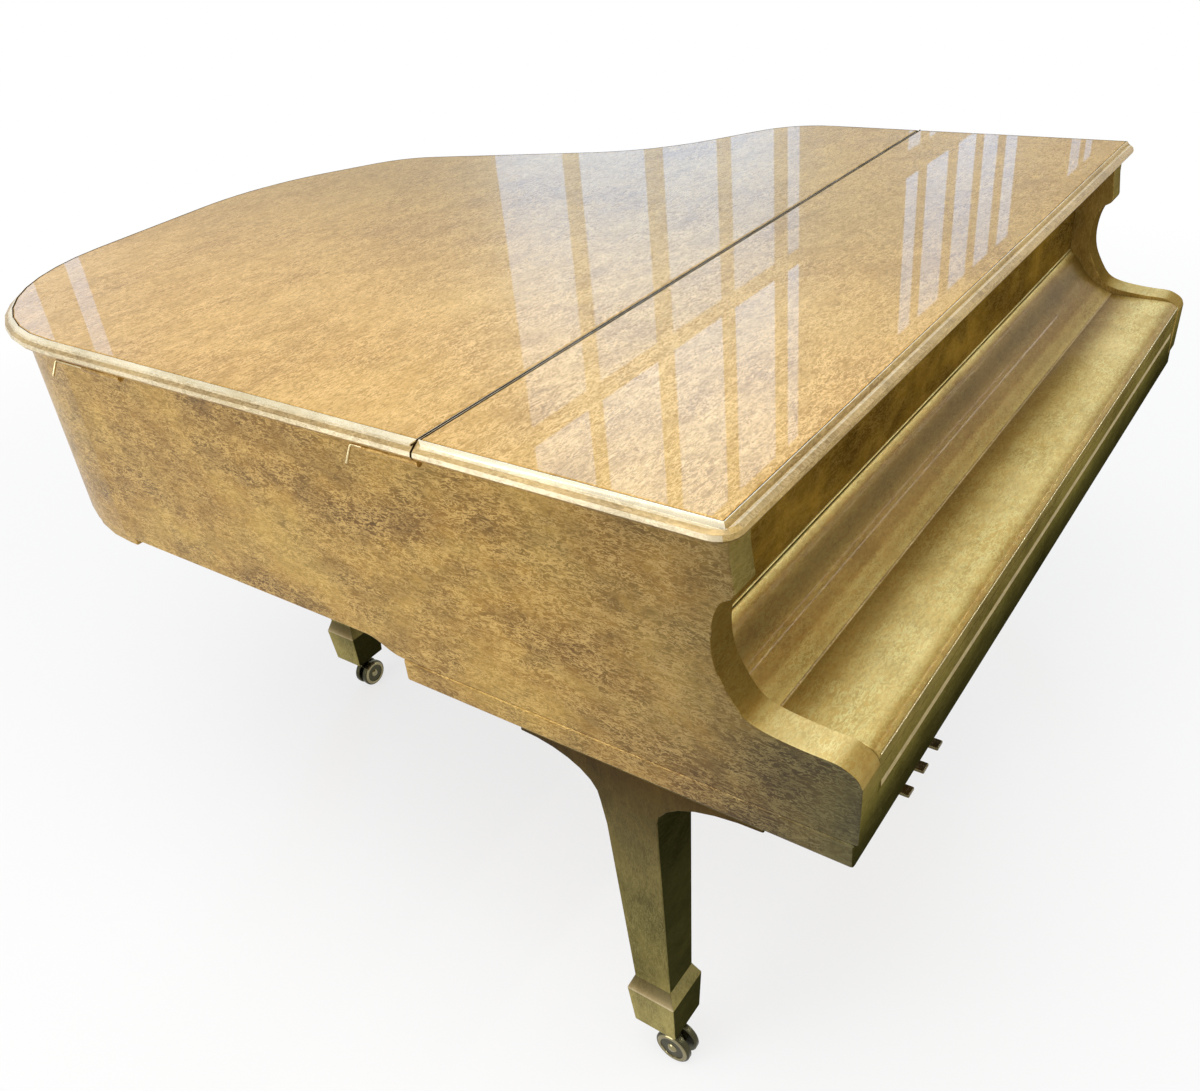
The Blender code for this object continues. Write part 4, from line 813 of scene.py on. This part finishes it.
WHITE_KEYS = 52
BLACK_AFTER = (0, 1, 3, 4, 6)   # in each octave, the joints between white keys where a black key stands
BLACK_FOOT = 0.0047             # half a black key's width at its foot,
BLACK_TOP = 0.0038              # and at its top
BLACK_LENGTH = 0.1020
BLACK_SINK = 0.0060             # below the white keys' tops
BLACK_SLOPE = 0.0045            # how far its front leans back
STICK_START = 0.1025            # behind the black keys' fronts
STICK_THICK = 0.0070
CLOTH_START, CLOTH_END = 0.1035, 0.1100
CLOTH_BOTTOM, CLOTH_TOP = 0.0005, 0.0028   # above the sticks


def keyboard():
    """White keys with soft edges, tapered black keys, and the sticks and cloth behind them."""
    dress("white_keys", KEY_EDGE, 2)
    low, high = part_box("black_keys")
    white_low, white_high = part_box("white_keys")
    width = white_high.x - white_low.x
    left = -width / 2
    keys = bmesh.new()
    for boundary in range(1, WHITE_KEYS):
        if boundary % 7 in BLACK_AFTER:
            add_black_key(keys, left + boundary * width / WHITE_KEYS, low.y, white_high.z, high.z)
    soften(put("black_keys_finish", keys, KEY_BLACK, "black_keys"), SMALL_EDGE, 2)
    sticks = bmesh.new()
    top = high.z - TOUCH
    add_block(sticks, (low.x, low.y + STICK_START, top - STICK_THICK), (high.x, high.y, top))
    soften(put("black_key_sticks", sticks, MAPLE, "black_keys", stands_for=("black_keys",)),
           KEY_EDGE, 2)
    cloth = bmesh.new()
    add_block(cloth, (left, low.y + CLOTH_START, high.z + CLOTH_BOTTOM),
              (-left, low.y + CLOTH_END, high.z + CLOTH_TOP))
    put("key_cloth", cloth, RED_FELT, "case")


def add_black_key(mesh, x, front, white_top, top):
    """A black key that narrows towards its top and leans back at its front."""
    verts = add_block(mesh, (x - BLACK_FOOT, front, white_top - BLACK_SINK),
                      (x + BLACK_FOOT, front + BLACK_LENGTH, top))
    for vert in verts:
        if vert.co.z > white_top:
            vert.co.x = x + (BLACK_TOP if vert.co.x > x else -BLACK_TOP)
            if vert.co.y < front + BLACK_LENGTH / 2:
                vert.co.y += BLACK_SLOPE


HAMMERS = 88
HAMMER_MARGIN = 0.010                      # from the bar's ends to the first and last hammer
HEAD_HALF = 0.0045
HEAD_FRONT, HEAD_REAR = 0.0235, 0.0005     # in front of the bar's rear face
HEAD_MIDDLE = 0.012
HEAD_BOTTOM = 0.010                        # above the bar's underside
HEAD_NARROW = 0.35                         # the share of a head's depth that is left at its top
CORE_HALF = 0.004                          # the wood inside a head
CORE_FRONT, CORE_REAR = 0.020, 0.004
CORE_BOTTOM, CORE_TOP = 0.0005, 0.011
SHANK_RADIUS = 0.0018
SHANK_FRONT = 0.001                        # behind the bar's front face
SHANK_HEIGHTS = (0.002, 0.0035)            # at its front and rear end, above the bar's underside
DAMPERS = 62
DAMPER_MARGIN = 0.006
DAMPER_HALF, DAMPER_INSET = 0.0042, 0.002
FELT_HALF, FELT_INSET = 0.0035, 0.001
FELT_HEIGHT = 0.0045                       # of a damper's felt under its head


def hammers():
    """Felted hammers on their shanks."""
    low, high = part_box("hammers")
    middle = high.y - HEAD_MIDDLE
    heads = bmesh.new()
    shanks = bmesh.new()
    for x in spread(low.x + HAMMER_MARGIN, high.x - HAMMER_MARGIN, HAMMERS):
        add_block(heads, (x - HEAD_HALF, high.y - HEAD_FRONT, low.z + HEAD_BOTTOM),
                  (x + HEAD_HALF, high.y - HEAD_REAR, high.z))
        add_rod(shanks, (x, low.y + SHANK_FRONT, low.z + SHANK_HEIGHTS[0]),
                (x, middle, low.z + SHANK_HEIGHTS[1]), SHANK_RADIUS)
        add_block(shanks, (x - CORE_HALF, high.y - CORE_FRONT, low.z + CORE_BOTTOM),
                  (x + CORE_HALF, high.y - CORE_REAR, low.z + CORE_TOP))
    for vert in heads.verts:
        if vert.co.z > low.z + CORE_TOP:
            vert.co.y = middle + (vert.co.y - middle) * HEAD_NARROW
    soften(put("hammer_heads", heads, WHITE_FELT, "hammers", stands_for=("hammers",)),
           FELT_EDGE, 2)
    put("hammer_shanks", shanks, MAPLE, "hammers")


def dampers():
    """Damper heads over the strings, each with its felt."""
    low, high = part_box("dampers")
    heads = bmesh.new()
    felts = bmesh.new()
    felt_top = low.z + FELT_HEIGHT
    for x in spread(low.x + DAMPER_MARGIN, high.x - DAMPER_MARGIN, DAMPERS):
        add_block(heads, (x - DAMPER_HALF, low.y + DAMPER_INSET, felt_top),
                  (x + DAMPER_HALF, high.y - DAMPER_INSET, high.z))
        add_block(felts, (x - FELT_HALF, low.y + FELT_INSET, low.z),
                  (x + FELT_HALF, high.y - FELT_INSET, felt_top))
    soften(put("damper_heads", heads, DAMPER_BLACK, "dampers", stands_for=("dampers",)),
           SMALL_EDGE, 2)
    put("damper_felts", felts, WHITE_FELT, "dampers")


# The two sets of strings: their node, the wires in each strip of it, a wire's radius and its metal
STRING_SETS = (("treble_strings", 6, 0.0005, STRING_WIRE), ("bass_strings", 4, 0.0010, COPPER_WIRE))
STRING_BAR = 0.02         # the strips start this far behind the front of their node
PIN_ROWS = 3
PIN_FRONT = 0.035         # from the plate's front to the first row of tuning pins
PIN_STEP = 0.022          # from each row to the next
PIN_FOOT, PIN_HEAD = 0.004, 0.014   # below and above the plate
PIN_RADIUS = 0.0028


def strip_ends(node):
    """How far back each strip of a set of strings reaches, by the place of its sides."""
    source = cad_copy(node)
    bar_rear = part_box(node)[0].y + STRING_BAR
    ends = {}
    for vert in source.verts:
        if vert.co.y > bar_rear:
            x = round(vert.co.x, 3)
            ends[x] = max(ends.get(x, 0.0), vert.co.y)
    source.free()
    return ends


def strings():
    """Wires from the pins over the bridges, wound in copper in the bass, and the tuning pins."""
    pins = bmesh.new()
    plate_low, plate_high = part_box("iron_plate")
    for node, per_strip, radius, material in STRING_SETS:
        wires = bmesh.new()
        low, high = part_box(node)
        z = (low.z + high.z) / 2
        ends = strip_ends(node)
        xs = sorted(ends)
        count = len(xs) // 2 * per_strip
        for i in range(count):
            share = i / (count - 1) * (len(xs) - 1)
            j = min(int(share), len(xs) - 2)
            part = share - j
            x = xs[j] + (xs[j + 1] - xs[j]) * part
            end = ends[xs[j]] + (ends[xs[j + 1]] - ends[xs[j]]) * part
            add_rod(wires, (x, low.y, z), (x, end, z), radius, 5)
            pin_y = plate_low.y + PIN_FRONT + PIN_STEP * (i % PIN_ROWS)
            add_rod(pins, (x, pin_y, plate_high.z - PIN_FOOT), (x, pin_y, plate_high.z + PIN_HEAD),
                    PIN_RADIUS, 8)
        put(node + "_wires", wires, material, "case", stands_for=(node,))
    put("tuning_pins", pins, PIN_STEEL, "case")


PLATE_START = -0.610      # the bass end of the plate's first opening
PLATE_OPENING = 0.140
PLATE_WEB = 0.030
PLATE_WEBS = 6
RIB_HALF = 0.008
RIB_FRONT = 0.145         # behind the plate's front
RIB_REAR = 0.020          # past the web's rear end
RIB_SINK, RIB_RISE = 0.001, 0.007    # below and above the plate's top
FELT_MARGIN = 0.020
FELT_FRONT, FELT_BACK = 0.115, 0.130   # behind the plate's front
FELT_THICK = 0.002


def plate_details():
    """Raised ribs along the plate's webs, and the felt over its front."""
    low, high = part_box("iron_plate")
    ribs = bmesh.new()
    source = cad_copy("iron_plate")
    for i in range(PLATE_WEBS):
        x = PLATE_START + PLATE_OPENING + PLATE_WEB / 2 + i * (PLATE_OPENING + PLATE_WEB)
        rear = max(vert.co.y for vert in source.verts if abs(vert.co.x - x) < PLATE_WEB)
        add_block(ribs, (x - RIB_HALF, low.y + RIB_FRONT, high.z - RIB_SINK),
                  (x + RIB_HALF, rear + RIB_REAR, high.z + RIB_RISE))
    source.free()
    soften(put("plate_ribs", ribs, PLATE_BRONZE, "case"), ROUND_EDGE)
    felt = bmesh.new()
    add_block(felt, (low.x + FELT_MARGIN, low.y + FELT_FRONT, high.z - TOUCH),
              (high.x - FELT_MARGIN, low.y + FELT_BACK, high.z + FELT_THICK))
    soften(put("plate_felt", felt, RED_FELT, "case"), SMALL_EDGE, 2)


def soundboard_ribs():
    """Ribs glued under the soundboard, shorter towards the tail."""
    count, front, pitch, middle = 6, 0.14, 0.13, -0.30
    half, shorter, half_width, deep = 0.26, 0.025, 0.011, 0.016
    board_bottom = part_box("soundboard")[0].z
    rim_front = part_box("inner_rim")[0].y
    ribs = bmesh.new()
    for i in range(count):
        y = rim_front + front + pitch * i
        reach = half - shorter * i
        add_block(ribs, (middle - reach, y - half_width, board_bottom - deep),
                  (middle + reach, y + half_width, board_bottom - TOUCH))
    soften(put("soundboard_ribs", ribs, SPRUCE, "case"), ROUND_EDGE, 2)


def stage_and_light():
    """Pale floor, soft lamps, tall windows beyond the tail, and the camera."""
    bpy.context.scene.view_settings.view_transform = "Standard"
    studio_world()
    floor()
    for name, place, target, size, power in LAMPS:
        lamp(name, place, target, size, power)
    window_panes()
    photo_camera()


def shown_rays(tree):
    """One for a ray that shows the background: to the camera, or by way of gloss or glass."""
    path = tree.nodes.new("ShaderNodeLightPath")
    shown = path.outputs["Is Camera Ray"]
    for other in ("Is Glossy Ray", "Is Transmission Ray"):
        either = add_node(tree, "ShaderNodeMath", operation="MAXIMUM")
        tree.links.new(shown, either.inputs[0])
        tree.links.new(path.outputs[other], either.inputs[1])
        shown = either.outputs[0]
    return shown


def mix_shaders(tree, share, first, second, surface):
    """Leads a mix of two shaders to the output's surface."""
    mix = tree.nodes.new("ShaderNodeMixShader")
    tree.links.new(share, mix.inputs["Fac"])
    tree.links.new(first.outputs[0], mix.inputs[1])
    tree.links.new(second.outputs[0], mix.inputs[2])
    tree.links.new(mix.outputs[0], surface)


def studio_world():
    """A dim room for the light, which shows as plain white."""
    world = bpy.data.worlds.new("studio")
    bpy.context.scene.world = world
    world.use_nodes = True
    tree = world.node_tree
    tree.nodes.clear()
    out = tree.nodes.new("ShaderNodeOutputWorld")
    pale = add_node(tree, "ShaderNodeBackground", {"Color": WHITE, "Strength": 1.0})
    dim = add_node(tree, "ShaderNodeBackground", {"Color": ROOM_COLOUR, "Strength": ROOM_GLOW})
    mix_shaders(tree, shown_rays(tree), dim, pale, out.inputs["Surface"])


def floor():
    """A pale floor that keeps the piano's shadow and fades to the white background far away."""
    ground = bmesh.new()
    bmesh.ops.create_circle(ground, cap_ends=True, segments=64, radius=FLOOR_RADIUS)
    data = bpy.data.meshes.new("floor")
    ground.to_mesh(data)
    ground.free()
    piece = bpy.data.objects.new("floor", data)
    bpy.context.scene.collection.objects.link(piece)
    material, tree, shader = new_material("floor_white", grey(0.90), 0.7)
    shader.inputs["Specular IOR Level"].default_value = 0.2
    place = add_node(tree, "ShaderNodeTexCoord")
    reach = add_node(tree, "ShaderNodeVectorMath", operation="LENGTH")
    tree.links.new(place.outputs["Object"], reach.inputs[0])
    fade = add_node(tree, "ShaderNodeMapRange", FLOOR_FADE)
    tree.links.new(reach.outputs["Value"], fade.inputs["Value"])
    share = add_node(tree, "ShaderNodeMath", operation="MULTIPLY")
    tree.links.new(fade.outputs["Result"], share.inputs[0])
    tree.links.new(shown_rays(tree), share.inputs[1])
    white = add_node(tree, "ShaderNodeEmission", {"Color": WHITE, "Strength": 1.0})
    mix_shaders(tree, share.outputs[0], shader, white, tree.nodes["Material Output"].inputs["Surface"])
    data.materials.append(material)


def lamp(name, place, target, size, power, colour=(1.0, 1.0, 1.0)):
    """A soft flat lamp that faces its target."""
    data = bpy.data.lights.new(name, "AREA")
    data.shape = "RECTANGLE"
    data.size, data.size_y = size
    data.energy = power
    data.color = colour
    light = bpy.data.objects.new(name, data)
    bpy.context.scene.collection.objects.link(light)
    light.location = place
    light.rotation_euler = (Vector(target) - Vector(place)).to_track_quat("-Z", "Y").to_euler()


def window_panes():
    """Tall soft panes beyond the tail, which the closed lid mirrors as pale upright bands."""
    for window, (columns, rows) in enumerate(WINDOWS, 1):
        for column, (left, right) in enumerate(columns, 1):
            for row, (low, high, glow) in enumerate(rows, 1):
                centre = Vector(((left + right) / 2, WALL_Y, (low + high) / 2))
                size = (right - left, high - low)
                power = glow * math.pi * size[0] * size[1]
                inward = centre - Vector((0, 1, 0))
                lamp(f"pane_{window}_{column}_{row}", centre, inward, size, power, PANE_COLOUR)


def photo_camera():
    """The camera that the photograph was taken with, as far as its straight edges tell."""
    scene = bpy.context.scene
    data = bpy.data.cameras.new("camera")
    camera = bpy.data.objects.new("camera", data)
    scene.collection.objects.link(camera)
    data.sensor_width = SENSOR_WIDTH
    data.lens = SENSOR_WIDTH * FOCAL_PIXELS / PHOTO_WIDTH
    data.clip_end = 100
    forward = Vector((math.cos(PITCH) * math.cos(YAW), math.cos(PITCH) * math.sin(YAW), math.sin(PITCH)))
    level = forward.cross(Vector((0, 0, 1))).normalized()
    upright = level.cross(forward)
    right = math.cos(ROLL) * level + math.sin(ROLL) * upright
    up = -math.sin(ROLL) * level + math.cos(ROLL) * upright
    camera.matrix_world = Matrix.Translation(EYE) @ Matrix((right, up, -forward)).transposed().to_4x4()
    scene.camera = camera


dress_case()
dress_fittings()
keyboard()
hammers()
dampers()
strings()
plate_details()
soundboard_ribs()
stage_and_light()
